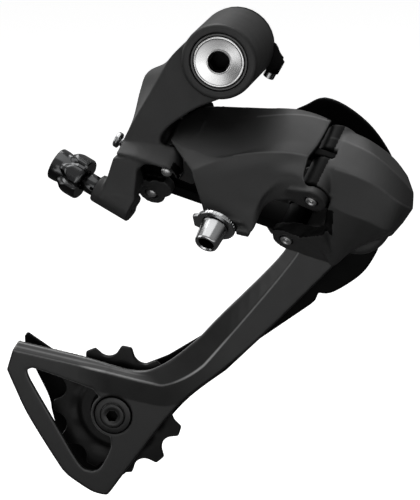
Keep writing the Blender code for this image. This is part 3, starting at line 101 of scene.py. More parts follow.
LINK = frame_from((-17.6, -25.35, -36.75), ALONG, ACROSS, PIN_AXIS)
LINK_LENGTH = 53.8
OUTER_B, OUTER_P = (0.0, 0.0), (LINK_LENGTH, 0.0)
INNER_B, INNER_P = (-8.2, 15.0), (LINK_LENGTH - 8.2, 15.0)
BOLT = side_frame(0, 0)
SIDE = frame_from((0, 0, 0), Vector((1, 0, 0)), Vector((0, 0, 1)), Vector((0, -1, 0)))
ADJUSTER = axis_frame((-60.0, -24.5, -40.7), (0.894, -0.159, -0.418))
CAGE_AXIS, GUIDE, TENSION = (47.6, -56.0), (29.6, -56.4), (-46.5, -140.4)
print("link pins point along", [round(v, 3) for v in PIN_AXIS])

# %% [markdown]
# ## Shapes from points
# Most pieces start as a loft through rings, an extruded outline, a turned profile or a grid of
# measured points that a smooth curve runs through. A short set of helpers makes all of them.


# %% Lofts, prisms and turned shapes
def placed(name, data):
    """A new object in the scene."""
    made = bpy.data.objects.new(name, data)
    bpy.context.scene.collection.objects.link(made)
    return made


def faced_outward(mesh):
    work = bmesh.new()
    work.from_mesh(mesh)
    bmesh.ops.recalc_face_normals(work, faces=work.faces)
    work.to_mesh(mesh)
    work.free()


def solid(points, faces):
    """A scratch object from world points in millimetres, with its faces turned outward."""
    mesh = bpy.data.meshes.new("scratch")
    mesh.from_pydata([Vector(p) * MM for p in points], [], faces)
    faced_outward(mesh)
    return placed("scratch", mesh)


def loft(rings, closed=False):
    """A closed solid through rings of equally many points, or a loop of rings."""
    count, total = len(rings[0]), len(rings)
    points = [p for ring in rings for p in ring]
    faces = [] if closed else [list(range(count)), list(range(len(points) - count, len(points)))]
    for row in range(total if closed else total - 1):
        after = (row + 1) % total
        for i in range(count):
            j = (i + 1) % count
            faces.append([row * count + i, row * count + j, after * count + j, after * count + i])
    return solid(points, faces)


def prism(place, outline, low, high):
    """An outline in a frame's x and y, extruded along its z."""
    return loft([[place @ Vector((p[0], p[1], c)) for p in outline] for c in (low, high)])


def turned(place, profile, sides=64, closed=False):
    """A profile of (radius, z) pairs turned about a frame's z. A closed profile makes a ring."""
    turns = [2 * math.pi * i / sides for i in range(sides)]
    rings = [[place @ Vector((r * math.cos(a), r * math.sin(a), z)) for a in turns] for r, z in profile]
    return loft(rings, closed)


def shifted(place, at):
    """The frame moved within its own x and y."""
    return place @ Matrix.Translation((at[0], at[1], 0))


def rod(place, radius, low, high, sides=40, at=(0.0, 0.0)):
    """A plain round rod along a frame's z, used as a body to join or as a cutter."""
    return turned(shifted(place, at), [(radius, low), (radius, high)], sides)


def rounded_ring(place, inner, outer, low, high, edge, sides=64):
    """A ring with all four corners eased."""
    corners = ((inner, low, 180), (outer, low, 270), (outer, high, 0), (inner, high, 90))
    loop = []
    for r, z, start in corners:
        cr = r + edge if r == inner else r - edge
        cz = z + edge if z == low else z - edge
        loop += arc((cr, cz), edge, start, start + 90, 3)
    return turned(place, loop, sides, closed=True)


def arc(centre, radius, start, end, steps):
    """Points of an arc, in degrees, both ends included."""
    found = []
    for i in range(steps + 1):
        angle = math.radians(start + (end - start) * i / steps)
        found.append((centre[0] + radius * math.cos(angle), centre[1] + radius * math.sin(angle)))
    return found


def hexagon(across_flats):
    radius = across_flats / math.sqrt(3)
    return [(radius * math.cos(math.pi * i / 3), radius * math.sin(math.pi * i / 3)) for i in range(6)]


def curve_through(points, steps):
    """Points of a smooth curve through the given ones, of any dimension."""
    known = [Vector(p) for p in points]
    found = []
    for i in range(len(known) - 1):
        before, a = known[max(i - 1, 0)], known[i]
        b, after = known[i + 1], known[min(i + 2, len(known) - 1)]
        for k in range(steps):
            u = k / steps
            bend = (b - before) * u + (2 * before - 5 * a + 4 * b - after) * u * u
            found.append(a + (bend + (3 * a - before - 3 * b + after) * u ** 3) / 2)
    return found + [known[-1]]


# %% Grids of measured points
def finer(rows, along, between, creases):
    """A finer grid: smooth along each row, and smooth from row to row except across the creases."""
    rows = [curve_through(row, along) for row in rows]
    stops = [0] + list(creases) + [len(rows) - 1]
    columns = []
    for c in range(len(rows[0])):
        column = [row[c] for row in rows]
        run = []
        for start, end in zip(stops, stops[1:]):
            run += curve_through(column[start:end + 1], between)[:-1]
        columns.append(run + [column[-1]])
    return [[column[r] for column in columns] for r in range(len(columns[0]))]


def grid_solid(front, back):
    """A closed solid between two grids of equal size."""
    rows, columns = len(front), len(front[0])
    quads = [[r * columns + c, r * columns + c + 1, (r + 1) * columns + c + 1, (r + 1) * columns + c]
             for r in range(rows - 1) for c in range(columns - 1)]
    rim = list(range(columns)) + [r * columns + columns - 1 for r in range(1, rows)]
    rim += [(rows - 1) * columns + c for c in range(columns - 2, -1, -1)]
    rim += [r * columns for r in range(rows - 2, 0, -1)]
    points = [p for row in front for p in row] + [p for row in back for p in row]
    shift = rows * columns
    faces = quads + [[i + shift for i in quad] for quad in quads]
    for i, a in enumerate(rim):
        b = rim[(i + 1) % len(rim)]
        faces.append([a, b, b + shift, a + shift])
    return solid(points, faces)


def grid_offset(grid, wall, toward):
    """The grid moved by a wall's thickness along its normals, to the side that looks toward."""
    rows, columns = len(grid), len(grid[0])
    moved = []
    for r in range(rows):
        line = []
        for c in range(columns):
            up = grid[max(r - 1, 0)][c] - grid[min(r + 1, rows - 1)][c]
            on = grid[r][min(c + 1, columns - 1)] - grid[r][max(c - 1, 0)]
            normal = up.cross(on).normalized()
            if normal.dot(toward) < 0:
                normal.negate()
            line.append(grid[r][c] + normal * wall)
        moved.append(line)
    return moved


# %% Joining, cutting and softening
WELD, FLAT = 0.004, math.radians(0.5)


def baked(made):
    """Applies an object's modifiers and leaves a plain mesh."""
    depsgraph = bpy.context.evaluated_depsgraph_get()
    result = bpy.data.meshes.new_from_object(made.evaluated_get(depsgraph))
    made.modifiers.clear()
    old = made.data
    made.data = result
    bpy.data.meshes.remove(old)
    return made


def combine(target, other, operation):
    step = target.modifiers.new("step", "BOOLEAN")
    step.operation = operation
    step.solver = "EXACT"
    step.object = other
    baked(target)
    bpy.data.objects.remove(other)
    return target


def join(target, *others):
    for other in others:
        combine(target, other, "UNION")
    return target


def cut(target, *others):
    for other in others:
        combine(target, other, "DIFFERENCE")
    return target


def smoothed(made, passes, group=""):
    """Evens a mesh out, all of it or by the weights of a vertex group."""
    smooth = made.modifiers.new("smooth", "SMOOTH")
    smooth.factor = 0.5
    smooth.iterations = passes
    smooth.vertex_group = group
    return baked(made)


def poured(made, *others):
    """Adds the meshes of other objects to an object's own, as they are."""
    work = bmesh.new()
    work.from_mesh(made.data)
    for other in others:
        work.from_mesh(other.data)
        bpy.data.objects.remove(other)
    work.to_mesh(made.data)
    work.free()
    return made


def evened(made, voxel, *others):
    """Rebuilds a mesh from even voxels, which also joins it with bodies that overlap it."""
    poured(made, *others)
    remesh = made.modifiers.new("remesh", "REMESH")
    remesh.mode = "VOXEL"
    remesh.voxel_size = voxel * MM
    return baked(made)


def softened(made, voxel, passes, blends=()):
    """Turns a hard-edged solid into an even mesh with soft edges, as on a casting.

    A blend is a place in world millimetres, its reach and its passes: there the edges flow more.
    """
    smoothed(evened(made, voxel), passes)
    for place, reach, more in blends:
        group = made.vertex_groups.new(name="blend")
        for vertex in made.data.vertices:
            weight = 1.3 * (1 - (vertex.co / MM - place).length / reach)
            if weight > 0:
                group.add([vertex.index], min(weight, 1.0), "REPLACE")
        smoothed(made, more, group.name)
        made.vertex_groups.clear()
    return made


def eased(made, width, segments=2, angle=28):
    """Rounds the sharp edges of a machined or moulded piece."""
    merged(made)
    bevel = made.modifiers.new("bevel", "BEVEL")
    bevel.width = width * MM
    bevel.segments = segments
    bevel.limit_method = "ANGLE"
    bevel.angle_limit = math.radians(angle)
    bevel.use_clamp_overlap = True
    return baked(made)


def merged(made):
    """Joins points that lie on each other and dissolves edges within flat faces."""
    work = bmesh.new()
    work.from_mesh(made.data)
    bmesh.ops.remove_doubles(work, verts=work.verts, dist=WELD * MM)
    bmesh.ops.dissolve_degenerate(work, edges=work.edges, dist=WELD * MM)
    bmesh.ops.dissolve_limit(work, angle_limit=FLAT, verts=work.verts, edges=work.edges)
    work.to_mesh(made.data)
    work.free()
    return made


def with_painted_highlights(made, lines, width):
    """Paints highlight lines: notes on each point how near it lies to lines in world millimetres, as a point
    attribute that lightens the colour.
    """
    spots = np.array([vertex.co for vertex in made.data.vertices]) / MM
    share = np.zeros(len(spots))
    for line, strength in lines:
        known = np.array([tuple(p) for p in line])
        for a, b in zip(known, known[1:]):
            along = b - a
            place = np.clip((spots - a) @ along / (along @ along), 0.0, 1.0)
            far = np.linalg.norm(spots - a - place[:, None] * along, axis=1)
            share = np.maximum(share, strength * np.clip(1.4 * (1.0 - far / width), 0.0, 1.0))
    made.data.attributes.new("painted_highlight", "FLOAT", "POINT").data.foreach_set("value", share)
    return made


def copy_of(node):
    """A copy of a CAD node's mesh, merged, to ease and finish."""
    return merged(placed("scratch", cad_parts[node].data.copy()))


# %% [markdown]
# ## Finishes
# Three effects are shared by the finishes, so each is a node group: fine grain (orange peel in
# paint, mould texture in resin), wear that lightens convex edges, and painted shade that darkens
# the colour in recesses. Groups put out values only. The shader itself stays in each material.
# Painted highlights, thin light lines along ridges, come from a point attribute on the pieces that have it.


# %% Shader groups shared by the finishes
def new_group(name, inputs, outputs):
    """A shader group with float inputs and outputs, and its two end nodes."""
    group = bpy.data.node_groups.new(name, "ShaderNodeTree")
    for label, value in inputs:
        socket = group.interface.new_socket(label, in_out="INPUT", socket_type="NodeSocketFloat")
        socket.default_value = value
    for label in outputs:
        group.interface.new_socket(label, in_out="OUTPUT", socket_type="NodeSocketFloat")
    return group, group.nodes.new("NodeGroupInput"), group.nodes.new("NodeGroupOutput")


def add(tree, kind, links=(), **settings):
    """Adds a node, sets its properties and sockets, and links sockets into it."""
    node = tree.nodes.new(kind)
    for key, value in settings.items():
        if key in node.bl_rna.properties:
            setattr(node, key, value)
        else:
            node.inputs[key.replace("_", " ")].default_value = value
    for socket, source in links:
        tree.links.new(source, node.inputs[socket])
    return node


def maths(tree, operation, *terms):
    """The result of one arithmetic step on sockets and plain numbers."""
    node = add(tree, "ShaderNodeMath", operation=operation)
    for index, term in enumerate(terms):
        if isinstance(term, float):
            node.inputs[index].default_value = term
        else:
            tree.links.new(term, node.inputs[index])
    return node.outputs[0]


def ranged(tree, value, source, target=(0.0, 1.0), kind="LINEAR"):
    """A value moved from one range to another."""
    node = add(tree, "ShaderNodeMapRange", [("Value", value)], interpolation_type=kind)
    for label, limit in zip(("From Min", "From Max", "To Min", "To Max"), source + target):
        node.inputs[label].default_value = limit
    return node.outputs["Result"]


def grain_group():
    sizes = (("Scale", 2200.0), ("Mottle Scale", 160.0))
    group, start, end = new_group("fine_grain", sizes, ("Height", "Mottle"))
    place = add(group, "ShaderNodeTexCoord").outputs["Object"]
    fine = add(group, "ShaderNodeTexNoise", [("Vector", place), ("Scale", start.outputs["Scale"])],
               Detail=2.0, Roughness=0.6)
    broad = add(group, "ShaderNodeTexNoise", [("Vector", place), ("Scale", start.outputs["Mottle Scale"])],
                Detail=4.0, Roughness=0.55)
    group.links.new(fine.outputs["Fac"], end.inputs["Height"])
    group.links.new(broad.outputs["Fac"], end.inputs["Mottle"])
    return group


def wear_group():
    sizes = (("From", 0.52), ("To", 0.62), ("Breakup Scale", 700.0))
    group, start, end = new_group("edge_wear", sizes, ("Mask",))
    bend = add(group, "ShaderNodeNewGeometry").outputs["Pointiness"]
    ramp = add(group, "ShaderNodeMapRange", [("Value", bend), ("From Min", start.outputs["From"]),
                                             ("From Max", start.outputs["To"])])
    place = add(group, "ShaderNodeTexCoord").outputs["Object"]
    breakup = add(group, "ShaderNodeTexNoise", [("Vector", place), ("Scale", start.outputs["Breakup Scale"])],
                  Detail=3.0)
    broken = ranged(group, breakup.outputs["Fac"], (0.3, 0.6))
    group.links.new(maths(group, "MULTIPLY", ramp.outputs["Result"], broken), end.inputs["Mask"])
    return group


def recess_group():
    # Painted shade: the share of open surroundings darkens the colour in recesses.
    group, start, end = new_group("recess_shade", (("Reach", 0.006), ("Depth", 1.4)), ("Light",))
    open_share = add(group, "ShaderNodeAmbientOcclusion", [("Distance", start.outputs["Reach"])], samples=8)
    power = maths(group, "POWER", open_share.outputs["AO"], start.outputs["Depth"])
    group.links.new(power, end.inputs["Light"])
    return group


GRAIN, WEAR, RECESS = grain_group(), wear_group(), recess_group()
print("shader groups:", GRAIN.name, WEAR.name, RECESS.name)


# %% A finish from its colours and the groups
def use_group(tree, group, **values):
    node = tree.nodes.new("ShaderNodeGroup")
    node.node_tree = group
    for key, value in values.items():
        node.inputs[key.replace("_", " ")].default_value = value
    return node


def grey(level, tint=0.0):
    """A neutral colour, or one with a little blue in it."""
    return (level, level * (1 + tint / 2), level * (1 + tint), 1)


def mix_colour(tree, factor, a, b):
    """Colour between two, where each is a fixed colour or a socket."""
    node = tree.nodes.new("ShaderNodeMix")
    node.data_type = "RGBA"
    tree.links.new(factor, node.inputs[0])
    for index, value in ((6, a), (7, b)):
        if isinstance(value, tuple):
            node.inputs[index].default_value = value
        else:
            tree.links.new(value, node.inputs[index])
    return node.outputs[2]


def finish(name, dark, light, worn, rough, metallic=0.0, specular=0.5, grain=2200.0, bump=0.12,
           shade=0.6, anisotropy=0.0, painted_highlight=0.22):
    """A procedural finish: mottled colour, worn edges, painted shade in recesses, painted highlight lines,
    grain in gloss and normal.
    """
    material = bpy.data.materials.new(name)
    material.use_nodes = True
    tree = material.node_tree
    shader = tree.nodes["Principled BSDF"]
    texture = use_group(tree, GRAIN, Scale=grain)
    edges = use_group(tree, WEAR, From=0.53, To=0.64)
    recess_shade_node = use_group(tree, RECESS)
    colour = mix_colour(tree, texture.outputs["Mottle"], dark, light)
    colour = mix_colour(tree, edges.outputs["Mask"], colour, worn)
    # Painted highlights: the colour lightens along the lines noted on the piece.
    highlight_lines = add(tree, "ShaderNodeAttribute", attribute_name="painted_highlight")
    colour = mix_colour(tree, highlight_lines.outputs["Fac"], colour, grey(painted_highlight))
    # Painted shade: the colour darkens in recesses.
    painted_shade_colour = tuple(c * (1 - shade) for c in dark[:3]) + (1,)
    colour = mix_colour(tree, recess_shade_node.outputs["Light"], painted_shade_colour, colour)
    tree.links.new(colour, shader.inputs["Base Color"])
    gloss = ranged(tree, texture.outputs["Mottle"], (0.3, 0.7), rough)
    tree.links.new(gloss, shader.inputs["Roughness"])
    relief = add(tree, "ShaderNodeBump", [("Height", texture.outputs["Height"])], Strength=bump,
                 Distance=0.00005)
    tree.links.new(relief.outputs["Normal"], shader.inputs["Normal"])
    shader.inputs["Metallic"].default_value = metallic
    shader.inputs["Specular IOR Level"].default_value = specular
    shader.inputs["Anisotropic"].default_value = anisotropy
    if anisotropy:
        tangent = add(tree, "ShaderNodeTangent", direction_type="RADIAL", axis="Y")
        tree.links.new(tangent.outputs["Tangent"], shader.inputs["Tangent"])
    return material


PAINT = finish("satin_grey_paint", grey(0.014), grey(0.018), grey(0.03), (0.50, 0.58))
PLATE_PAINT = finish("satin_plate_paint", grey(0.0055), grey(0.0075), grey(0.04), (0.33, 0.40), bump=0.1,
                     painted_highlight=0.4)
BLACK = finish("black_steel", grey(0.001), grey(0.0016), grey(0.005), (0.4, 0.5), specular=0.06, bump=0.1)
RESIN = finish("black_resin", grey(0.002), grey(0.0035), grey(0.012), (0.40, 0.50), specular=0.25,
               grain=3000.0, bump=0.15)
SEAL = finish("seal_grey", grey(0.11), grey(0.15), grey(0.2), (0.5, 0.6), bump=0.1, shade=0.4, grain=3500.0)


def metal(name, dark, light, worn, rough, bump=0.03, shade=0.5, grain=5000.0, anisotropy=0.0):
    return finish(name, dark, light, worn, rough, 1.0, bump=bump, shade=shade, grain=grain,
                  anisotropy=anisotropy)


STEEL = metal("bright_steel", grey(0.52, 0.02), grey(0.56, 0.02), grey(0.56, 0.02), (0.16, 0.22))
DISC = metal("turned_steel", grey(0.70), grey(0.76), grey(0.8), (0.22, 0.27), shade=0.3, anisotropy=0.4)
PIN_STEEL = metal("riveted_steel", grey(0.80), grey(0.88), grey(0.9), (0.42, 0.52), bump=0.04)
DARK_METAL = metal("dark_chrome", grey(0.075, 0.03), grey(0.09, 0.03), grey(0.09, 0.03), (0.18, 0.22),
                   shade=0.6)
WIRE = metal("spring_wire", grey(0.33), grey(0.42), grey(0.55), (0.28, 0.38), bump=0.1, grain=2200.0)
BRONZE = metal("bush_bronze", (0.40, 0.26, 0.11, 1), (0.48, 0.32, 0.14, 1), (0.6, 0.42, 0.2, 1), (0.3, 0.42),
               bump=0.1, grain=2200.0)
ALL_FINISHES = (PAINT, PLATE_PAINT, BLACK, RESIN, STEEL, DISC, PIN_STEEL, DARK_METAL, WIRE, SEAL, BRONZE)
print("finishes:", [m.name for m in ALL_FINISHES])


# %% Handing a piece over to its body
def finished(made, name, material, body, slot, *nodes, sharp=32, painted_shade_test=None):
    """Names a piece, gives it its finish, and puts it on its body in place of its CAD nodes.

    Faces whose middle, in world millimetres, passes the given test take the black finish, as painted shade in
    hollows and sockets.
    """
    made.name = name
    made.data.name = name
    made.data.materials.clear()
    made.data.materials.append(material)
    if painted_shade_test:
        made.data.materials.append(BLACK)
        for face in made.data.polygons:
            face.material_index = int(painted_shade_test(face.center / MM, face.normal))
    made.data.shade_smooth()
    made.data.set_sharp_from_angle(angle=math.radians(sharp))
    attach(made, body)
    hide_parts(*nodes)
    triangles = sum(len(face.vertices) - 2 for face in made.data.polygons)
    print(f"{name}: {triangles} triangles on {body}")
    return made


def socket_test(place, radius, low, high):
    """A test for a key socket's faces, which take black as painted shade: within a radius of a frame's z, and
    between two heights.
    """
    back = place.inverted()

    def inside(point, _normal):
        local = back @ point
        return math.hypot(local.x, local.y) < radius and low < local.z < high

    return inside


def repainted(node, material):
    """A CAD node that is good as it is gets a better finish in its own slots."""
    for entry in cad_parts[node].material_slots:
        entry.material = material


# %% [markdown]
# ## The bracket
# The bracket is one casting: a cylinder round the mounting bolt, a flat-faced arm with a lighter
# wing along its back edge, a shelf over the link pins and a boss for the cable adjuster. Its parts
# are joined as hard solids and cut like the CAD, then remeshed and smoothed a little, which gives
# the even soft edge of a painted casting.


# %% Bracket casting
BRACKET_RADIUS, BRACKET_FACE = 13.4, 31.5
BOLT_HEAD_RADIUS, BOLT_HEAD_DEPTH, BOLT_RADIUS = 9.0, 4.0, 5.0
LOBE_RADIUS, INNER_LOBE_RADIUS, PIN_RADIUS = 4.9, 5.0, 2.1
LOWER_LOBE, LINK_BARREL_TOP, UPPER_LOBE = (-7.6, 2.0), 14.0, 12.2
INNER_LOBE, INNER_BARREL_TOP, SPRING_SPACE = (-6.1, -2.0), 3.4, 4.6
KNOB_END = 7.0 + 5.6 + 5.0
LIMIT_AT, LIMIT_AXIS = Vector((-38.5, -25.0, -30.4)), Vector((0.90, -0.10, -0.42))
LIMIT_STEP, LIMIT_HEAD = Vector((-1.3, 6.0, -1.7)), 2.2
CAST_VOXEL, BRACKET_EDGE, SEAL_ROOM = 0.42, 1.2, 1.3


def lobe(centre, radius, yoke, low, high):
    """A round lobe in the link frame, run back to a yoke's two corners."""
    towards = Vector(yoke[0]).lerp(Vector(yoke[1]), 0.5) - Vector(centre)
    facing = math.degrees(math.atan2(towards.y, towards.x))
    round_end = arc(centre, radius, facing + 90, facing + 270, 24)
    corners = sorted(yoke, key=lambda corner: towards.cross(Vector(corner) - Vector(centre)))
    return prism(LINK, round_end + corners, low, high)


def limit_frame(step):
    at = LIMIT_AT + LIMIT_STEP * step
    return axis_frame(at + LIMIT_AXIS.normalized() * LIMIT_HEAD, LIMIT_AXIS)


def bracket_casting():
    low = -BRACKET_FACE
    rim = arc((BRACKET_RADIUS - BRACKET_EDGE, low + BRACKET_EDGE), BRACKET_EDGE, 270, 360, 5)
    body = turned(BOLT, rim + [(BRACKET_RADIUS, -2.3)], 96)
    right = [(-20.5, -36.0), (-21.6, -30.0), (-19.0, -25.2), (-13.5, -20.8), (-7.3, -17.0), (4.5, -12.0)]
    front = [(-9.5, 8.8), (-17.3, 1.0), (-21.2, -6.0), (-25.2, -13.0), (-33.0, -26.5), (-36.0, -34.5)]
    wing = [(-9.5, 8.8), (-19.0, -2.5), (-28.2, -7.6), (-31.2, -14.5), (-33.9, -25.5), (-38.3, -35.5)]
    back = [(-9.0, 8.0), (-18.0, -3.5), (-26.5, -9.0), (-29.0, -15.5), (-31.5, -25.5), (-34.5, -34.0)]
    rings = []
    for left, depth in ((front, 27.6), (wing, 18.0), (back, 9.0)):
        outline = curve_through(left, 8) + curve_through(right, 8)
        rings.append([Vector((point.x, -depth, point.y)) for point in outline])
    arm = loft(rings)
    web = prism(SIDE, [(-37.2, -35.4), (-25.0, -36.6), (-25.4, -39.5), (-28.0, -45.0), (-30.5, -52.0),
                       (-32.4, -56.2), (-42.5, -50.5), (-39.3, -42.0)], 24.0, 33.0)
    upper = LINK_BARREL_TOP + GAP
    edge = -LOBE_RADIUS - 1.2
    yoke = prism(LINK, [(-17.5, -5.8), (edge, -6.0), (edge, 7.5), (-13.0, 12.0), (-17.0, 6.0)],
                 LOWER_LOBE[0] + 0.3, upper + 5.0)
    hood = prism(LINK, [(-17.6, -6.4), (-10.0, -6.4), (-4.8, -5.6), (0.0, -LOBE_RADIUS + 0.02), (0.0, 1.0),
                        (-15.0, 3.0)], LOWER_LOBE[0] - 0.3, LOWER_LOBE[1] - 0.2)
    drum = rod(LINK, 4.7, INNER_LOBE[0] - 0.3, -2.8, 48, (-4.2, 10.2))
    sides = ((edge - 1, LOBE_RADIUS), (edge - 4, -LOBE_RADIUS))
    inner_sides = ((-6.9, 6.0), (-14.0, 6.0))
    inner_upper = INNER_BARREL_TOP + SPRING_SPACE + GAP
    parts = [lobe(OUTER_B, LOBE_RADIUS, sides, *LOWER_LOBE),
             lobe(OUTER_B, LOBE_RADIUS, sides, upper, upper + UPPER_LOBE),
             lobe(INNER_B, INNER_LOBE_RADIUS, inner_sides, *INNER_LOBE),
             lobe(INNER_B, INNER_LOBE_RADIUS, inner_sides, inner_upper, inner_upper + 3.4)]
    boss = rod(ADJUSTER, 5.1, KNOB_END, KNOB_END + 15.0, 48)
    body = join(body, arm, yoke, web, boss, hood, drum, *parts)
    recess = arc(OUTER_B, 3.9, 262, 360, 14)
    recess += [(6.0, 3.0), (6.0, 6.0), (-9.0, 6.0), (-9.2, -2.0), (-6.5, -3.9)]
    cuts = [rod(BOLT, BOLT_HEAD_RADIUS + SEAL_ROOM, low - 5, low + BOLT_HEAD_DEPTH + GAP, 96),
            rod(BOLT, BOLT_RADIUS + 1.6, low, 0, 64), rod(BOLT, BRACKET_RADIUS - 2.4, low + 10.3, 0, 64),
            rod(ADJUSTER, 2.6, KNOB_END - 5, KNOB_END + 12.3), rod(ADJUSTER, 1.4, KNOB_END, KNOB_END + 35),
            rod(LINK, PIN_RADIUS + GAP, LOWER_LOBE[0] - 30, upper + 30, at=OUTER_B),
            prism(LINK, recess, LOWER_LOBE[0] - 20, LOWER_LOBE[0] + 3.0),
            rod(LINK, PIN_RADIUS + GAP, INNER_LOBE[0] - 30, inner_upper + 30, at=INNER_B),
            rod(LINK, 5.9, LOWER_LOBE[1], upper, 48, OUTER_B),
            rod(LINK, 5.3, INNER_LOBE[1], inner_upper, 48, INNER_B)]
    for step in (0, 1):
        cuts += [rod(limit_frame(step), 1.8, -1, 14), rod(limit_frame(step), 3.4, -30, GAP)]
    return softened(cut(body, *cuts), CAST_VOXEL, 6, [(LINK @ Vector((-7.0, -6.0, -3.5)), 11.0, 40)])


def in_pin_recess(point, normal):
    """The hollow round the outer pin's head and the far lobe, painted black as shade."""
    local = LINK.inverted() @ point
    if local.z > 17.0 and math.hypot(local.x, local.y) < 6.4:
        return True
    beside = -9.4 < local.x < 5.0 and -4.1 < local.y < 6.2
    return beside and -7.4 < local.z < -4.2 and normal.dot(PIN_AXIS) < 0.3


finished(bracket_casting(), "bracket_casting", PAINT, "bracket", "cast_paint", "bracket_body", sharp=60,
         painted_shade_test=in_pin_recess)

# %% [markdown]
# ## The outer link
# The outer link is a curved shell. Measured rows of points run along it: its top edge, a soft
# upper ridge, a light wedge above the main ridge, the ridge itself and the scooped skirt. The
# grid is made finer with creases at the ridges only, so that the light breaks there as it does on
# the real pressing. The place of the maker's lettering stays bare.

# %% Outer link
LINK_ROWS = (
    ((2.6, -6.4, 19.4), (6.0, -5.8, 22.0), (10.0, -5.3, 23.6), (16.0, -5.2, 25.1),
     (24.0, -5.4, 26.8), (34.0, -5.6, 29.2), (42.0, -5.4, 29.6), (49.4, -5.2, 28.3)),
    ((0.6, -6.6, 16.0), (6.0, -6.5, 17.0), (12.0, -6.6, 17.6), (18.0, -6.8, 18.6),
     (24.5, -7.0, 21.2), (34.5, -7.2, 25.0), (42.0, -7.0, 26.6), (49.6, -6.5, 26.8)),
    ((-1.6, -6.7, 11.4), (6.0, -7.0, 10.6), (13.0, -7.3, 10.2), (20.0, -7.6, 12.5),
     (27.5, -7.8, 15.4), (36.5, -7.8, 18.6), (43.4, -7.5, 20.2), (49.7, -7.0, 20.8)),
    ((-1.4, -6.5, 3.0), (5.5, -7.3, 0.8), (14.5, -8.1, -0.6), (22.0, -8.5, 0.6),
     (27.5, -8.6, 4.2), (33.8, -8.5, 8.8), (41.0, -8.1, 13.4), (49.5, -7.3, 15.2)),
    ((11.3, -6.9, -8.0), (13.6, -7.5, -6.8), (18.5, -8.6, -3.2), (24.0, -9.1, 1.0),
     (30.7, -9.3, 4.0), (36.9, -9.3, 6.1), (42.9, -8.8, 7.8), (48.6, -7.7, 9.0)),
    ((13.0, -5.2, -10.6), (17.0, -5.8, -9.6), (22.0, -6.4, -7.6), (27.4, -7.2, -4.6),
     (33.0, -7.8, -0.8), (38.6, -8.1, 2.2), (43.6, -7.8, 4.6), (48.9, -7.2, 5.8)),
    ((15.6, -2.0, -13.8), (21.4, -2.4, -13.6), (28.4, -2.2, -12.8), (34.6, -1.2, -10.4),
     (37.6, -3.2, -6.3), (40.7, -5.8, -2.4), (44.8, -6.8, -0.3), (50.0, -6.6, 0.5)),
    ((17.0, 0.6, -15.6), (23.6, 0.4, -16.4), (31.0, 0.6, -16.8), (36.2, 1.0, -15.0),
     (37.4, -0.2, -8.6), (41.0, -2.2, -4.5), (45.5, -3.0, -2.9), (53.0, -4.8, -2.6)),
    ((18.2, 3.2, -17.2), (25.0, 3.4, -18.0), (33.2, 3.4, -18.2), (37.6, 3.3, -19.4),
     (38.0, 2.6, -10.2), (40.4, 1.8, -6.5), (45.8, 1.2, -4.7), (57.5, -3.4, -3.3)),
)
LOWER_EAR, KNUCKLE_BARREL_TOP, EAR, EAR_RADIUS, SHOULDER = (-4.1, -1.1), 12.0, 2.9, 5.3, 5.9
CLAMP_AT, CLAMP_FACE = (23.8, 4.6), -18.6


def outer_link():
    rows = [[LINK @ Vector(p) for p in row] for row in LINK_ROWS]
    creases = [1, 3, 4]
    fine = finer(rows, 6, 5, creases)
    shell = grid_solid(fine, finer(grid_offset(rows, 2.2, ACROSS), 6, 5, creases))
    barrel = lobe(OUTER_B, 5.0, ((7.5, -7.4), (9.0, -3.0)), LOWER_LOBE[1] + GAP, LINK_BARREL_TOP)
    upper = KNUCKLE_BARREL_TOP + GAP
    strap = ((LINK_LENGTH - 11.6, -6.8), (LINK_LENGTH - 5.2, -5.6))
    root = prism(LINK, [(2.9, 4.9), (8.5, 6.0), (12.0, 0.0), (13.0, -6.2), (6.5, -6.4), (5.7, 0.0)], -4.5,
                 LINK_BARREL_TOP - 0.2)
    low_strap = ((LINK_LENGTH - 11.5, 1.6), (LINK_LENGTH - 8.0, -4.0))
    ears = [root, lobe(OUTER_P, EAR_RADIUS, low_strap, *LOWER_EAR),
            lobe(OUTER_P, SHOULDER - 0.1, strap, upper, upper + EAR)]
    s, t = CLAMP_AT
    lug = prism(LINK, [(s - 4.8, t - 1.5), (s - 2, t - 3.2), (s + 9.3, t - 3.0), (s + 9.3, t + 2),
                       (s + 4, t + 4.2), (s - 4, t + 4.2)], CLAMP_FACE, CLAMP_FACE + 7.0)
    hook = prism(LINK, [(s + 7.8, t - 0.8), (s + 12.9, t - 0.8), (s + 12.4, t + 1.8), (s + 7.8, t + 1.8)],
                 CLAMP_FACE - 2.0, CLAMP_FACE + 6.0)
    body = evened(shell, 0.3, barrel, *ears, lug, hook)
    pin = PIN_RADIUS + GAP
    cuts = [rod(LINK, pin, -60, 60, at=OUTER_B), rod(LINK, pin, -60, 60, at=OUTER_P),
            rod(LINK, 2.8, CLAMP_FACE - 1, CLAMP_FACE + 10, at=CLAMP_AT),
            rod(LINK, LOBE_RADIUS + 0.6, LOWER_LOBE[0] - 20, LOWER_LOBE[1] + GAP, 48, OUTER_B),
            rod(LINK, LOBE_RADIUS + 0.6, LINK_BARREL_TOP, LINK_BARREL_TOP + 20, 48, OUTER_B),
            rod(LINK, SHOULDER + GAP, LOWER_EAR[1] + 0.05, upper - 0.05, 50, OUTER_P),
            rod(LINK, SHOULDER + GAP, upper + EAR + 0.05, 40, 50, OUTER_P)]
    blends = [(LINK @ Vector((45.5, -3.0, -2.5)), 8.0, 25), (LINK @ Vector((24.0, 1.0, -16.0)), 9.0, 20)]
    made = softened(cut(body, join(*cuts)), 0.36, 4, blends)
    # Painted highlights along the right edge, the upper ridge and a lower crease.
    right_edge_highlight = [row[-1] for row in fine[:32]]
    return with_painted_highlights(made, [(right_edge_highlight, 0.5), (fine[5][24:], 0.3), (fine[20][18:], 0.22)], 0.6)


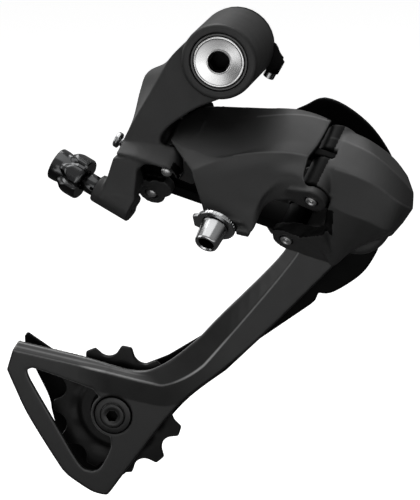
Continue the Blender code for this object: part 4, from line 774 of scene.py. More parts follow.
def in_slot(point, _normal):
    """The ear that turns in the knuckle's slot, painted black as its shade."""
    local = LINK.inverted() @ point
    near = math.hypot(local.x - LINK_LENGTH, local.y) < SHOULDER + 2.6 and local.y > -6.2
    return near and local.z > KNUCKLE_BARREL_TOP - 2


finished(outer_link(), "outer_link_shell", PAINT, "outer_arm", "cast_paint", "outer_link", sharp=60,
         painted_shade_test=in_slot)

# %% [markdown]
# ## The knuckle
# The knuckle carries the cage pivot and ends the two links. Its front is a faceted shell whose
# creases run from the link to the front edge. The link's sweep is cut out of it before the pin
# barrel and the lobes are added, as on the CAD, so that nothing strikes when the links swing.

# %% Knuckle
KNUCKLE_ROWS = (
    ((38.8, -16.6, -22.9), (44.4, -17.6, -25.2), (51.8, -20.0, -27.8),
     (59.8, -21.0, -33.1), (64.6, -20.0, -39.5)),
    ((37.4, -21.7, -26.8), (43.1, -23.4, -27.4), (54.4, -28.0, -30.7),
     (63.4, -29.0, -37.7), (67.6, -25.0, -44.2)),
    ((35.7, -31.0, -34.5), (45.1, -34.0, -35.7), (56.0, -36.0, -39.2),
     (64.6, -35.0, -45.3), (67.9, -28.0, -49.1)),
    ((39.3, -38.0, -46.0), (46.2, -39.0, -48.6), (54.1, -38.0, -51.9),
     (61.2, -35.0, -55.8), (64.6, -27.0, -54.2)),
    ((37.6, -36.0, -63.4), (40.6, -33.0, -70.0), (46.7, -32.0, -65.0),
     (53.3, -30.0, -61.6), (60.3, -26.0, -59.7)),
)
KNUCKLE_RADIUS, KNUCKLE_LENGTH, KNUCKLE_BACK, KNUCKLE_NOSE = 11.8, 25.0, -14.0, 2.0
PLATE_FACE, AXLE_BORE = 1.0, 4.3
KNUCKLE_LOBE, KNUCKLE_INNER_TOP, UPPER_INNER_LOBE = (-11.9, -8.0), 2.0, 3.6
SWEEP_START, SWEEP_END = 158, 293
SOLE = ((40.5, 12.0, 11.4, 16.0), (41.3, 11.2, 10.6, 17.6), (42.8, 10.2, 9.8, 19.0), (45.5, 9.2, 9.2, 20.0),
        (49.3, 7.2, 10.8, 20.6), (53.9, 6.9, 14.6, 21.4), (59.2, 7.2, 19.0, 22.0), (62.0, 8.5, 21.0, 22.4))


def knuckle_casting():
    centre = Vector((CAGE_AXIS[0], KNUCKLE_BACK, CAGE_AXIS[1]))
    surface = finer([[Vector(p) for p in row] for row in KNUCKLE_ROWS], 6, 4, [1, 2, 3])
    flat = [[Vector((p.x, KNUCKLE_BACK, p.z)).lerp(centre, 0.12) for p in row] for row in surface]
    front = grid_solid(surface, flat)
    at = side_frame(*CAGE_AXIS)
    near = PLATE_FACE - GAP
    nose = arc((KNUCKLE_RADIUS - KNUCKLE_NOSE, KNUCKLE_NOSE - KNUCKLE_LENGTH), KNUCKLE_NOSE, 270, 360, 5)
    housing = turned(at, nose + [(KNUCKLE_RADIUS, near)], 72)
    barrel_low = LOWER_EAR[1] + GAP
    shoulder = rod(LINK, SHOULDER, barrel_low, 26.8, 72, OUTER_P)
    s, t = OUTER_P
    neck = prism(LINK, [(s - 1, t - 2.5), (s + 9, t - 1), (s + 12, t + 12), (s - 1, t + 4)], barrel_low + 0.2,
                 KNUCKLE_BARREL_TOP - 0.2)
    body = join(front, housing, neck)
    lobe_top = KNUCKLE_INNER_TOP + GAP
    yoke_from = INNER_P[0] + 5.4
    yoke = prism(LINK, [(yoke_from, 11.5), (yoke_from + 9, 7.0), (yoke_from + 12, 20.0), (yoke_from, 20.0)],
                 KNUCKLE_LOBE[0] + 0.3, lobe_top + UPPER_INNER_LOBE)
    swept = arc(OUTER_P, SHOULDER - 0.3, SWEEP_START, SWEEP_END, 28)
    swept += arc(OUTER_P, LINK_LENGTH, SWEEP_END, SWEEP_START, 16)
    sweep = prism(LINK, swept, -LINK_LENGTH, LINK_LENGTH)
    upper = KNUCKLE_BARREL_TOP + GAP
    body = cut(body, sweep, rod(LINK, EAR_RADIUS + 0.9, -58, barrel_low + 0.15, 48, OUTER_P))
    slot = rod(LINK, SHOULDER + 0.35, KNUCKLE_BARREL_TOP, upper + EAR + GAP, 72, OUTER_P)
    body = cut(join(body, shoulder), slot)
    sides = ((yoke_from + 1, 10.0), (yoke_from + 1, 20.0))
    rings = []
    for i in range(len(SOLE) * 4 - 3):
        step, part = divmod(i, 4)
        near_end = SOLE[min(step + 1, len(SOLE) - 1)]
        place, back, crease, end = (a + (b - a) * part / 4 for a, b in zip(SOLE[step], near_end))
        under, over = KNUCKLE_LOBE
        section = [(back, over), (crease, under), (end, under), (end, over)]
        rings.append([LINK @ Vector((place, across, along)) for across, along in section])
    upper_lobe = lobe(INNER_P, INNER_LOBE_RADIUS, sides, lobe_top, lobe_top + UPPER_INNER_LOBE)
    body = join(body, yoke, loft(rings), upper_lobe)
    chamber = -KNUCKLE_LENGTH + 6.6
    pin = PIN_RADIUS + GAP
    cuts = [rod(LINK, pin, -40, upper + EAR + 2 * GAP, at=OUTER_P), rod(LINK, pin, -40, 40, at=INNER_P),
            rod(LINK, 5.1, KNUCKLE_LOBE[1] + 0.05, lobe_top - 0.05, 44, INNER_P),
            rod(at, KNUCKLE_RADIUS - 2.6, chamber, near + 5, 64),
            rod(at, AXLE_BORE, chamber - 4, near + 5)]
    spots = (((57.0, 9.0, -9.5), 9.0, 25), ((57.0, -6.0, 8.0), 9.0, 25), ((57.0, -6.0, 20.0), 9.0, 25),
             ((51.5, 7.5, -10.0), 11.0, 45))
    blends = [(LINK @ Vector(place), reach, more) for place, reach, more in spots]
    made = softened(cut(body, *cuts), CAST_VOXEL, 5, blends)
    # Painted highlights along two creases of the front.
    return with_painted_highlights(made, [(surface[4], 0.12), (surface[8][4:], 0.16)], 0.6)


def in_joint(point, normal):
    """The shoulder beside the link's edge and the recess under the link, painted black as their shade."""
    local = LINK.inverted() @ point
    across, along = local.x - LINK_LENGTH, local.y
    turn = math.degrees(math.atan2(along, across)) % 360
    if math.hypot(across, along) < SHOULDER + 0.4 and 120 < turn < 284:
        return True
    if not (40 < local.x < 62 and 2.0 < along < 13.0 and local.z < 12):
        return False
    return local.z > KNUCKLE_LOBE[1] - 0.6 or normal.dot(ACROSS) < -0.45


finished(knuckle_casting(), "knuckle_casting", PAINT, "knuckle", "cast_paint", "knuckle_body", sharp=60,
         painted_shade_test=in_joint)

# %% [markdown]
# ## The cage plates
# The outer plate is a pressed arm with a folded upper edge and a window beside the lower wheel.
# The inner plate is flat black steel. Both are outlines with a thickness, cut, then remeshed and
# smoothed. On the outer plate a band below the ridge is pressed out a little.

# %% Outer cage plate
PLATE, FOLD, SPACING, INNER_PLATE = 2.2, 3.0, 13.5, 2.0
BAND_RISE, BAND_WIDTH, BAND_FROM, BAND_TO, BAND_FADE = 0.8, 8.0, -13.0, 44.0, 11.0
RIDGE_T = [(-37.4, 22.2), (-10.6, 17.7), (12.8, 13.4), (20.6, 13.2), (31.0, 18.8), (39.8, 28.4)]
EDGE_T = [(-36.2, 24.6), (-10.0, 20.0), (8.0, 16.6), (18.0, 19.6), (30.0, 29.3), (38.2, 38.2)]
RIDGE_G, EDGE_G = [(-8.8, -20.3), (-6.0, -9.0)], [(-13.9, -19.7), (-11.0, -8.0)]
HEAD_G = [(-9.5, 5.0), (-6.0, 12.0), (4.0, 15.0)]
OUTER_EDGE_T = [(53.7, 31.9), (39.8, 18.8), (23.2, 4.0), (4.5, -21.3), (-1.4, -29.6), (-3.1, -30.7),
                (-7.7, -29.9), (-13.0, -27.0), (-17.7, -23.7), (-21.4, -19.0), (-31.8, -2.5), (-36.9, 8.2),
                (-39.7, 14.6)]
WINDOW_RIM = [(-0.8, -12.1), (-2.2, -15.7), (-4.5, -19.9), (-6.1, -21.3), (-8.7, -21.8), (-12.9, -19.4),
              (-21.3, -5.6), (-29.5, 8.3), (-31.6, 12.3), (-32.1, 14.6), (-30.8, 15.4), (-28.9, 15.5),
              (-19.6, 12.9), (-7.5, 9.2)]
WHEEL_BORE, STOP_PIN_REACH, STOP_PIN_ANGLE = 2.6, 18, math.radians(245)


def from_anchor(anchor, offsets):
    """Side-view points given from a wheel's centre."""
    return [(anchor[0] + dx, anchor[1] + dz) for dx, dz in offsets]


def stop_pin_frame():
    x, z = STOP_PIN_REACH * math.cos(STOP_PIN_ANGLE), STOP_PIN_REACH * math.sin(STOP_PIN_ANGLE)
    return side_frame(CAGE_AXIS[0] + x, CAGE_AXIS[1] + z)


def pressed_band(made, ridge):
    """Presses the band below the ridge out a little, so that it slopes from ridge to plate."""
    spots = np.array([vertex.co for vertex in made.data.vertices]) / MM
    side = spots[:, [0, 2]]
    best = np.full(len(spots), 1e9)
    below = np.zeros(len(spots))
    known = np.array(ridge)
    for a, b in zip(known, known[1:]):
        along = b - a
        place = np.clip((side - a) @ along / (along @ along), 0.0, 1.0)
        off = side - a - place[:, None] * along
        far = np.linalg.norm(off, axis=1)
        sign = np.sign(along[1] * off[:, 0] - along[0] * off[:, 1])
        below = np.where(far < best, far * sign, below)
        best = np.minimum(best, far)
    start = np.clip((side[:, 0] - TENSION[0] - BAND_FROM) / BAND_FADE, 0.0, 1.0)
    end = np.clip((TENSION[0] + BAND_TO - side[:, 0]) / (2 * BAND_FADE), 0.0, 1.0)
    rise = BAND_RISE * start * end * np.clip(1.0 - below / BAND_WIDTH, 0.0, 1.0)
    for vertex, lift in zip(made.data.vertices, rise):
        vertex.co.y -= lift * MM
    return made


def flat_curve(points, steps):
    """A smooth curve as plain pairs."""
    return [tuple(p) for p in curve_through(points, steps)]


def outer_plate():
    ridge = flat_curve(from_anchor(TENSION, RIDGE_T) + from_anchor(GUIDE, RIDGE_G), 8)
    edge = flat_curve(from_anchor(TENSION, EDGE_T) + from_anchor(GUIDE, EDGE_G), 8)
    head = from_anchor(GUIDE, HEAD_G) + arc(CAGE_AXIS, KNUCKLE_RADIUS - 1, 75, -100, 24)
    rest = flat_curve(from_anchor(GUIDE, [(4.3, -23.7)]) + from_anchor(TENSION, OUTER_EDGE_T), 6)
    outline = ridge + head + rest
    n, m = len(outline), len(edge)
    points = []
    for depth in (PLATE_FACE, PLATE_FACE + PLATE):
        points += [Vector((x, depth, z)) for x, z in outline]
        points += [Vector((x, depth + FOLD, z)) for x, z in edge]
    layer = n + m
    faces = []
    for base in (0, layer):
        faces.append([base + i for i in range(n)])
        faces += [[base + i, base + i + 1, base + n + i + 1, base + n + i] for i in range(m - 1)]
    border = list(range(m - 1, n)) + [0] + [n + i for i in range(m)]
    for i, a in enumerate(border):
        b = border[(i + 1) % len(border)]
        faces.append([a, b, b + layer, a + layer])
    plate = solid(points, faces)
    window = from_anchor(TENSION, arc((0, 0), 8.3, 128, 262, 24) + flat_curve(WINDOW_RIM, 6))
    cuts = [prism(SIDE, window, -21, 19), rod(side_frame(*CAGE_AXIS), AXLE_BORE, -20, 20),
            rod(stop_pin_frame(), 2.2, -20, 20)]
    for at in (GUIDE, TENSION):
        seat = side_frame(*at)
        cuts += [rod(seat, WHEEL_BORE, -20, 20), rod(seat, 7.0, -20, PLATE_FACE + 1.1, 72)]
    made = pressed_band(softened(cut(plate, *cuts), 0.34, 14), ridge)
    # Painted highlights along the ridge, the fold's edge and middle, and the window rim.
    face, hem = PLATE_FACE - 0.3, PLATE_FACE + FOLD
    tail = len(ridge) * 2 // 5
    middle = [(a[0], PLATE_FACE + FOLD / 2, (a[1] + b[1]) / 2) for a, b in zip(ridge[:tail], edge)]
    rim = [(x, PLATE_FACE, z) for x, z in window + window[:1]]
    lines = [([(x, face, z) for x, z in ridge], 1.0), ([(x, hem, z) for x, z in edge], 0.35),
             (middle, 0.3), (rim, 0.22)]
    return with_painted_highlights(made, lines, 0.55)


finished(outer_plate(), "outer_plate", PLATE_PAINT, "cage", "plate_paint", "outer_cage_plate", sharp=60)


# %% Inner cage plate
INNER_HEAD_G = [(-8.0, -22.0), (-15.0, -8.0), (-19.5, 10.0), (-16.0, 26.0), (-7.8, 32.0), (-1.7, 34.6),
                (5.9, 32.2), (14.3, 26.1), (20.5, 18.4), (24.0, 11.0), (25.6, 0.0), (23.0, -9.0),
                (19.7, -15.3), (17.3, -21.8), (12.1, -29.5), (2.1, -36.6), (-3.3, -37.2)]
INNER_ARM_G, INNER_ARM_T = [(-4.5, -40.2), (-6.2, -41.8)], [(51.4, 28.2)]
INNER_TAIL_T = [(39.0, 15.6), (23.0, 2.0), (6.0, -20.0), (0.5, -27.0), (-6.0, -29.8), (-11.5, -28.0),
                (-18.0, -22.8), (-23.6, -13.8), (-26.3, -5.0), (-27.6, 1.2), (-32.2, 10.6),
                (-35.8, 18.5), (-36.6, 23.5)]
INNER_CORNER_T = [(-35.6, 25.0), (-25.0, 18.3), (-8.0, 14.5), (8.0, 15.5), (17.2, 19.7), (29.1, 27.6),
                  (44.0, 38.0)]


def inner_plate():
    arm = from_anchor(GUIDE, INNER_ARM_G) + from_anchor(TENSION, INNER_ARM_T)
    outline = flat_curve(from_anchor(GUIDE, INNER_HEAD_G), 6) + arm
    outline += flat_curve(from_anchor(TENSION, INNER_TAIL_T), 6) + from_anchor(TENSION, INNER_CORNER_T)
    low = PLATE_FACE + SPACING
    plate = prism(SIDE, outline, -low - INNER_PLATE, -low)
    plate = cut(plate, *[rod(side_frame(*at), WHEEL_BORE, 0, 40) for at in (GUIDE, TENSION)])
    return softened(plate, CAST_VOXEL, 3)


finished(inner_plate(), "inner_plate", BLACK, "cage", "black_steel", "inner_cage_plate", sharp=60)

# %% [markdown]
# ## The toothed wheels
# A jockey wheel repeats one tooth eleven times, so one sector is built with its tooth, its petal
# recess and its share of the web and bore. A Geometry Nodes tree turns copies of it round the
# axle, realises them and welds their seams.

# %% One tooth sector
TEETH, PITCH, ROOT_RADIUS, ROOT_LIFT, TIP_WIDTH = 11, 12.7, 4.4, 2.06, 4.2
PITCH_RADIUS = PITCH / 2 / math.sin(math.pi / TEETH)
TIP_RADIUS = PITCH_RADIUS + 1.6
MID = PLATE_FACE + (SPACING + PLATE) / 2
BORE, WEB_RADIUS, WEB_HALF, TOOTH_HALF = 4.5, 13.5, 2.0, 1.1
DISH_END, PETAL_END, TAPER_START, PETAL_DEPTH = 15.2, 18.0, 20.5, 0.45


def tooth_outline():
    """Angle and radius of the rim, from the middle of one root to the middle of the next."""
    half = math.pi / TEETH
    flank = []
    for i in range(7):
        swing = math.radians(55 * i / 6)
        x = PITCH_RADIUS + ROOT_LIFT - ROOT_RADIUS * math.cos(swing)
        y = ROOT_RADIUS * math.sin(swing)
        flank.append((math.atan2(y, x), math.hypot(x, y)))
    corner = half - TIP_WIDTH / 2 / TIP_RADIUS
    flank += [(corner - 0.004, TIP_RADIUS - 0.5), (corner + 0.012, TIP_RADIUS - 0.06)]
    flank.append((corner + 0.03, TIP_RADIUS))
    return flank + [(half, TIP_RADIUS)] + [(2 * half - a, r) for a, r in reversed(flank)]


def half_thickness(radius, angle):
    """Half the wheel's thickness: thick hub, dished web with petals, thin teeth."""
    half = math.pi / TEETH
    petal = max(0.0, math.cos((angle - half) / half * math.pi / 2)) ** 1.5
    if radius <= WEB_RADIUS - 0.5:
        return WEB_HALF
    if radius <= DISH_END:
        u = (radius - WEB_RADIUS + 0.5) / (DISH_END - WEB_RADIUS + 0.5)
        return WEB_HALF + (TOOTH_HALF - PETAL_DEPTH * petal - WEB_HALF) * (3 * u * u - 2 * u ** 3)
    if radius <= PETAL_END:
        return TOOTH_HALF - PETAL_DEPTH * petal * (1 - ((radius - DISH_END) / 2.8) ** 2)
    return TOOTH_HALF - 0.3 * max(0.0, (radius - TAPER_START) / (TIP_RADIUS - TAPER_START))


def tooth_sector():
    outline = tooth_outline()
    fixed = [BORE + 0.3, 8.0, 12.6, WEB_RADIUS - 0.5, 13.5, 14.0, 14.6, DISH_END, 16.2, 17.2, PETAL_END]
    columns = []
    for angle, edge in outline:
        radii = fixed + [PETAL_END + (edge - 0.4 - PETAL_END) * f for f in (0.33, 0.66, 1.0)]
        half = [(r, half_thickness(r, angle)) for r in radii]
        loop = [(BORE, half[0][1] - 0.3)] + half + [(edge, half[-1][1] - 0.4)]
        ring = loop + [(r, -t) for r, t in reversed(loop)]
        columns.append([Vector((r * math.cos(angle), r * math.sin(angle), t)) * MM for r, t in ring])
    count = len(columns[0])
    mesh = bpy.data.meshes.new("tooth_sector")
    faces = []
    for c in range(len(columns) - 1):
        for i in range(count):
            j = (i + 1) % count
            faces.append([c * count + i, c * count + j, (c + 1) * count + j, (c + 1) * count + i])
    mesh.from_pydata([p for column in columns for p in column], [], faces)
    return mesh


# %% Geometry Nodes: copies round an axle
def new_tree(name, sizes):
    """A geometry tree with a mesh input and output and named float or integer sizes."""
    tree = bpy.data.node_groups.new(name, "GeometryNodeTree")
    tree.interface.new_socket("Geometry", in_out="INPUT", socket_type="NodeSocketGeometry")
    for label, kind in sizes:
        tree.interface.new_socket(label, in_out="INPUT", socket_type=kind)
    tree.interface.new_socket("Material", in_out="INPUT", socket_type="NodeSocketMaterial")
    tree.interface.new_socket("Geometry", in_out="OUTPUT", socket_type="NodeSocketGeometry")
    return tree, tree.nodes.new("NodeGroupInput"), tree.nodes.new("NodeGroupOutput")


def close_tree(tree, start, end, geometry):
    """Realises what was made and sets its material."""
    real = add(tree, "GeometryNodeRealizeInstances", [("Geometry", geometry)])
    weld = add(tree, "GeometryNodeMergeByDistance", [("Geometry", real.outputs["Geometry"])],
               Distance=WELD * MM)
    paint = add(tree, "GeometryNodeSetMaterial", [("Geometry", weld.outputs["Geometry"]),
                                                  ("Material", start.outputs["Material"])])
    tree.links.new(paint.outputs["Geometry"], end.inputs["Geometry"])
    return tree


def copies_round_axle():
    tree, start, end = new_tree("copies_round_axle", (("Copies", "NodeSocketInt"),))
    points = add(tree, "GeometryNodePoints", [("Count", start.outputs["Copies"])])
    step = maths(tree, "DIVIDE", 2 * math.pi, start.outputs["Copies"])
    angle = maths(tree, "MULTIPLY", add(tree, "GeometryNodeInputIndex").outputs[0], step)
    spin = add(tree, "ShaderNodeCombineXYZ", [("Z", angle)])
    rotation = add(tree, "FunctionNodeEulerToRotation", [("Euler", spin.outputs[0])])
    copies = add(tree, "GeometryNodeInstanceOnPoints", [("Points", points.outputs[0]),
                                                        ("Instance", start.outputs["Geometry"]),
                                                        ("Rotation", rotation.outputs[0])])
    return close_tree(tree, start, end, copies.outputs["Instances"])


def wound_wire():
    """A helix of round or angular wire: a spring with many sides, a screw thread with four."""
    sizes = [(label, "NodeSocketFloat") for label in ("Radius", "Wire", "Low", "High", "Turns")]
    tree, start, end = new_tree("wound_wire", sizes + [("Sides", "NodeSocketInt")])
    height = maths(tree, "SUBTRACT", start.outputs["High"], start.outputs["Low"])
    spiral = add(tree, "GeometryNodeCurveSpiral", [("Rotations", start.outputs["Turns"]),
                                                   ("Start Radius", start.outputs["Radius"]),
                                                   ("End Radius", start.outputs["Radius"]),
                                                   ("Height", height)], Resolution=48)
    lift = add(tree, "ShaderNodeCombineXYZ", [("Z", start.outputs["Low"])])
    raised = add(tree, "GeometryNodeTransform", [("Geometry", spiral.outputs[0]),
                                                 ("Translation", lift.outputs[0])])
    profile = add(tree, "GeometryNodeCurvePrimitiveCircle", [("Resolution", start.outputs["Sides"]),
                                                            ("Radius", start.outputs["Wire"])])
    tube = add(tree, "GeometryNodeCurveToMesh", [("Curve", raised.outputs[0]),
                                                 ("Profile Curve", profile.outputs[0])], Fill_Caps=True)
    return close_tree(tree, start, end, tube.outputs[0])


COPIES, WOUND = copies_round_axle(), wound_wire()


def grown(tree, mesh, place, material, **sizes):
    """Runs a tree on a mesh with its sizes set, and puts the plain result in its place."""
    made = placed("scratch", mesh)
    modifier = made.modifiers.new("tree", "NODES")
    modifier.node_group = tree
    values = dict(sizes, Material=material)
    for item in tree.interface.items_tree:
        if item.in_out == "INPUT" and item.name in values:
            modifier[item.identifier] = values[item.name]
    baked(made)
    metric = place.copy()
    metric.translation = place.translation * MM
    made.data.transform(metric)
    faced_outward(made.data)
    return made


# %% Guide and tension wheels
for at, node, body in ((GUIDE, "guide_pulley", "guide_wheel"), (TENSION, "tension_pulley", "tension_wheel")):
    place = side_frame(*at) @ Matrix.Translation((0, 0, MID))
    wheel = grown(COPIES, tooth_sector(), place, RESIN, Copies=TEETH)
    finished(wheel, node + "_wheel", RESIN, body, "black_resin", node, sharp=40)

# %% [markdown]
# ## Springs and threads
# A spring is a round wire on a helix, and so is the crest of a screw thread, with an angular wire
# of many close turns. One tree makes both.


# %% Springs
def wound(name, place, material, radius, wire, low, high, turns, sides):
    """A helix in a frame, with its sizes in millimetres."""
    return grown(WOUND, bpy.data.meshes.new(name), place, material, Radius=radius * MM, Wire=wire * MM,
                 Low=low * MM, High=high * MM, Turns=float(turns), Sides=sides)


def spring(name, place, radius, wire, ends, turns, body, node):
    made = wound("wire", place, WIRE, radius, wire / 2, *ends, turns, 14)
    finished(made, name, WIRE, body, "spring_steel", node, sharp=50)


RETURN_ENDS = (INNER_BARREL_TOP + 0.85, INNER_BARREL_TOP + SPRING_SPACE - 0.55)
spring("bracket_coil", BOLT, 8.0, 2.0, (-BRACKET_FACE + 12.9, -3.6), 4, "bracket", "bracket_spring")
spring("cage_coil", side_frame(*CAGE_AXIS), 6.6, 2.0, (-KNUCKLE_LENGTH + 7.9, PLATE_FACE - 1.6), 4, "knuckle",
       "cage_spring")
spring("return_coil", shifted(LINK, INNER_B), 3.4, 1.1, RETURN_ENDS, 1.9, "bracket", "link_return_spring")
spring("adjuster_coil", ADJUSTER, 3.05, 0.9, (8.75, 11.85), 2.4, "bracket", "adjuster_spring")


# %% Screw threads
CREST_SINK, CREST_WIRE = 0.12, 0.36


def threaded(screw, place, radius, low, high, pitch, material):
    """Adds a thread's crest to a screw made as a plain shank."""
    crest = wound("crest", place, material, radius - pitch * CREST_SINK, pitch * CREST_WIRE, low, high,
                  (high - low) / pitch, 4)
    return poured(screw, crest)


# %% [markdown]
# ## Mounting bolt, seal and stopper
# The bolt's bright turned head is the first thing the eye meets. Its face is a shallow dish with a
# raised lip round the key socket, and its finish is brushed round the axis, so that the light
# spreads in a fan.

# %% Mounting bolt
BOLT_KEY, CLAMP_KEY, WHEEL_KEY = 6.0, 5.0, 4.0
# Radius and depth from the face: the lip round the socket, the dish, the rim
BOLT_DISH = [(3.8, 0.2), (3.95, 0.05), (4.12, 0.0), (4.3, 0.1), (4.45, 0.8), (5.2, 0.7), (6.0, 0.58),
             (7.0, 0.42), (8.0, 0.26), (8.3, 0.2), (8.45, 0.02), (8.7, 0.0), (8.88, 0.1), (9.0, 0.3)]


def mounting_bolt():
    face = -BRACKET_FACE
    back = face + BOLT_HEAD_DEPTH
    shank = [(9.0, back - 0.3), (8.7, back), (4.9, back), (4.55, back + 0.4), (4.55, 8.9), (4.0, 9.5)]
    body = turned(BOLT, [(r, face + depth) for r, depth in BOLT_DISH] + shank, 96)
    funnel = turned(BOLT, [(3.85, face - 1), (3.85, face + 0.2), (3.45, face + 0.7)], 64)
    body = cut(body, funnel, prism(BOLT, hexagon(BOLT_KEY), face - 1, back + 2))
    return threaded(body, BOLT, 4.95, -3.0, 8.6, 1.0, DISC)


finished(mounting_bolt(), "mounting_bolt_turned", DISC, "hanger_axle", "steel", "mounting_bolt", sharp=40,
         painted_shade_test=socket_test(BOLT, 3.9, -BRACKET_FACE + 0.3, 0))
seal = rounded_ring(BOLT, 9.3, 10.0, -BRACKET_FACE + 0.4, -BRACKET_FACE + 4.0, 0.2, 96)
finished(seal, "seal_ring", SEAL, "bracket", "seal_grey", "bolt_seal_ring")
stopper = eased(copy_of("stopper_plate"), 0.35)
finished(stopper, "stopper_washer", BLACK, "hanger_axle", "black_steel", "stopper_plate")


# %% Angle screw and limit screws
def slotted_screw(place, head, shank, head_from, head_to, end, slots, crown):
    """A small screw: a domed head at one end, a threaded shank, slots cut in the head."""
    outward = -1 if head_to < head_from else 1
    rim = [math.radians(a) for a in range(0, 90, 15)]
    dome = [(head * math.cos(a), head_to - outward * crown * (1 - math.sin(a))) for a in rim]
    profile = [(shank - 0.6, end), (shank - 0.25, end + outward * 0.5), (shank - 0.25, head_from),
               (head - 0.15, head_from), (head, head_from + outward * 0.2)]
    body = turned(place, profile + dome, 40)
    tip = sorted((head_to - outward * 1.0, head_to + outward * 2))
    for across in slots:
        turn = place @ Matrix.Rotation(across, 4, "Z")
        body = cut(body, prism(turn, [(-1.8, -0.35), (1.8, -0.35), (1.8, 0.35), (-1.8, 0.35)], *tip))
    low, high = sorted((end + outward * 0.6, head_from - outward * 0.3))
    return threaded(body, place, shank, low, high, 0.7, STEEL)


for step, node, body in ((0, "high_limit_screw", "high_screw"), (1, "low_limit_screw", "low_screw")):
    screw = slotted_screw(limit_frame(step), 2.8, 1.5, -GAP, -LIMIT_HEAD, 13.0, (0, math.pi / 2), 0.9)
    finished(screw, node + "_turned", STEEL, body, "steel", node)
TILT = math.radians(28)
ANGLE_SCREW = axis_frame((13.0, 0.8, -7.3), (-math.sin(TILT), 0, -math.cos(TILT)))
screw = slotted_screw(ANGLE_SCREW, 2.1, 1.6, 2.8, 5.4, -3.2, (0,), 0.4)
finished(screw, "angle_screw_turned", STEEL, "angle_screw", "steel", "body_angle_screw")

# %% [markdown]
# ## Cable adjuster
# The knob is dark polished metal. A plain round body swells into six flat-topped lobes, so its
# radius is written as a function of the angle and the place along the axis.


# %% Barrel adjuster
KNOB_LOBES, LOBE_HALF, LOBE_SIDE = 6, 20.0, 7.0
toward_camera = ADJUSTER.inverted().to_3x3() @ Vector((0.2137, -0.9406, 0.2639))
KNOB_PHASE = math.degrees(math.atan2(toward_camera.y, toward_camera.x))


def knob_radius(angle, z):
    """Outside radius of the knob: round at its end, with broad lobes that start as points."""
    body = 5.8 - 0.5 * max(0.0, min(1.0, (z - 2.6) / 3.0)) - 0.45 * max(0.0, 1 - z / 0.6) ** 2
    pitch = 360 / KNOB_LOBES
    off = abs((math.degrees(angle) - KNOB_PHASE + pitch / 2) % pitch - pitch / 2)
    share = min(1.0, max(0.0, (LOBE_HALF + LOBE_SIDE - off) / LOBE_SIDE))
    share = share * share * (3 - 2 * share)
    start = 3.2 + 2.6 * min(1.0, off / (LOBE_HALF + 6)) ** 2
    rise = min(1.0, max(0.0, (z - start) / 3.6))
    rise = rise * rise * (3 - 2 * rise)
    end = max(0.0, (z - 11.2) / 1.1)
    return body + (6.9 + 0.8 * share - body) * rise - 0.5 * end * end


def barrel_adjuster():
    sides = 180
    turns = [2 * math.pi * i / sides for i in range(sides)]
    rings = []
    for z in [0.0, 0.15, 0.4, 0.8, 1.6, 2.6] + [3.2 + 0.36 * i for i in range(26)] + [12.3]:
        ring = [(knob_radius(a, z), a) for a in turns]
        rings.append([ADJUSTER @ Vector((r * math.cos(a), r * math.sin(a), z)) for r, a in ring])
    body = cut(loft(rings), rod(ADJUSTER, 3.8, 8.0, 14.0))
    shank = turned(ADJUSTER, [(2.3, 7.0), (2.3, 28.6), (1.9, 29.6)], 32)
    body = join(body, shank)
    seat = turned(ADJUSTER, [(3.3, -1.0), (3.2, -0.02), (2.7, 0.5), (2.7, 6.0)], 40)
    return cut(body, seat, rod(ADJUSTER, 1.1, 5.0, 80.0, 20))


finished(barrel_adjuster(), "adjuster_knob", DARK_METAL, "adjuster", "dark_metal", "barrel_adjuster",
         sharp=30)
collar = eased(copy_of("adjuster_collar"), 0.25)
finished(collar, "adjuster_collar_eased", DARK_METAL, "bracket", "dark_metal", "adjuster_collar")

# %% [markdown]
# ## Cable clamp, pins and the inner link
# The clamp washer is toothed where it grips the cable. The clamp bolt's head tapers to its key
# socket. The four pins end in riveted heads with a ring dent.


# %% Cable clamp
WASHER, WASHER_TEETH = 1.6, 40


def clamp_frame():
    at = LINK @ Vector((CLAMP_AT[0], CLAMP_AT[1], CLAMP_FACE))
    return frame_from(at, ALONG, -ACROSS, -PIN_AXIS)


def clamp_washer():
    ring = rounded_ring(clamp_frame(), 2.8, 7.0, GAP, GAP + WASHER, 0.3, 96)
    tongue = prism(clamp_frame(), [(-8.2, -2.6), (-4, -4.2), (-4, 4.2), (-8.2, 2.6)], GAP + 0.1, GAP + 1.5)
    body = join(ring, eased(tongue, 0.25))
    outline = [(6.5, -0.3), (7.2, -0.12), (7.2, 0.12), (6.5, 0.3)]
    teeth = []
    for i in range(WASHER_TEETH):
        turn = clamp_frame() @ Matrix.Rotation(2 * math.pi * i / WASHER_TEETH, 4, "Z")
        teeth.append(prism(turn, outline, GAP + 0.35, GAP + 1.25))
    return poured(body, *teeth)


def clamp_bolt():
    seat = 2 * GAP + WASHER
    top = seat + 8.0
    profile = [(2.1, -7.0), (2.5, -6.6), (2.5, seat), (4.8, seat), (4.95, seat + 0.15), (4.9, seat + 0.6),
               (4.55, seat + 3.0), (4.2, top - 0.8), (4.05, top - 0.3), (3.8, top - 0.04), (3.5, top)]
    body = turned(clamp_frame(), profile, 72)
    funnel = turned(clamp_frame(), [(3.2, top + 1), (3.2, top + 0.02), (2.75, top - 0.45)], 48)
    return cut(body, funnel, prism(clamp_frame(), hexagon(CLAMP_KEY), top - 4, top + 1))


finished(clamp_washer(), "clamp_washer_toothed", STEEL, "outer_arm", "steel", "cable_clamp_washer")
finished(clamp_bolt(), "clamp_bolt_turned", STEEL, "outer_arm", "steel", "cable_clamp_bolt",
         painted_shade_test=socket_test(clamp_frame(), 3.0, 4.0, 2 * GAP + 9.2))


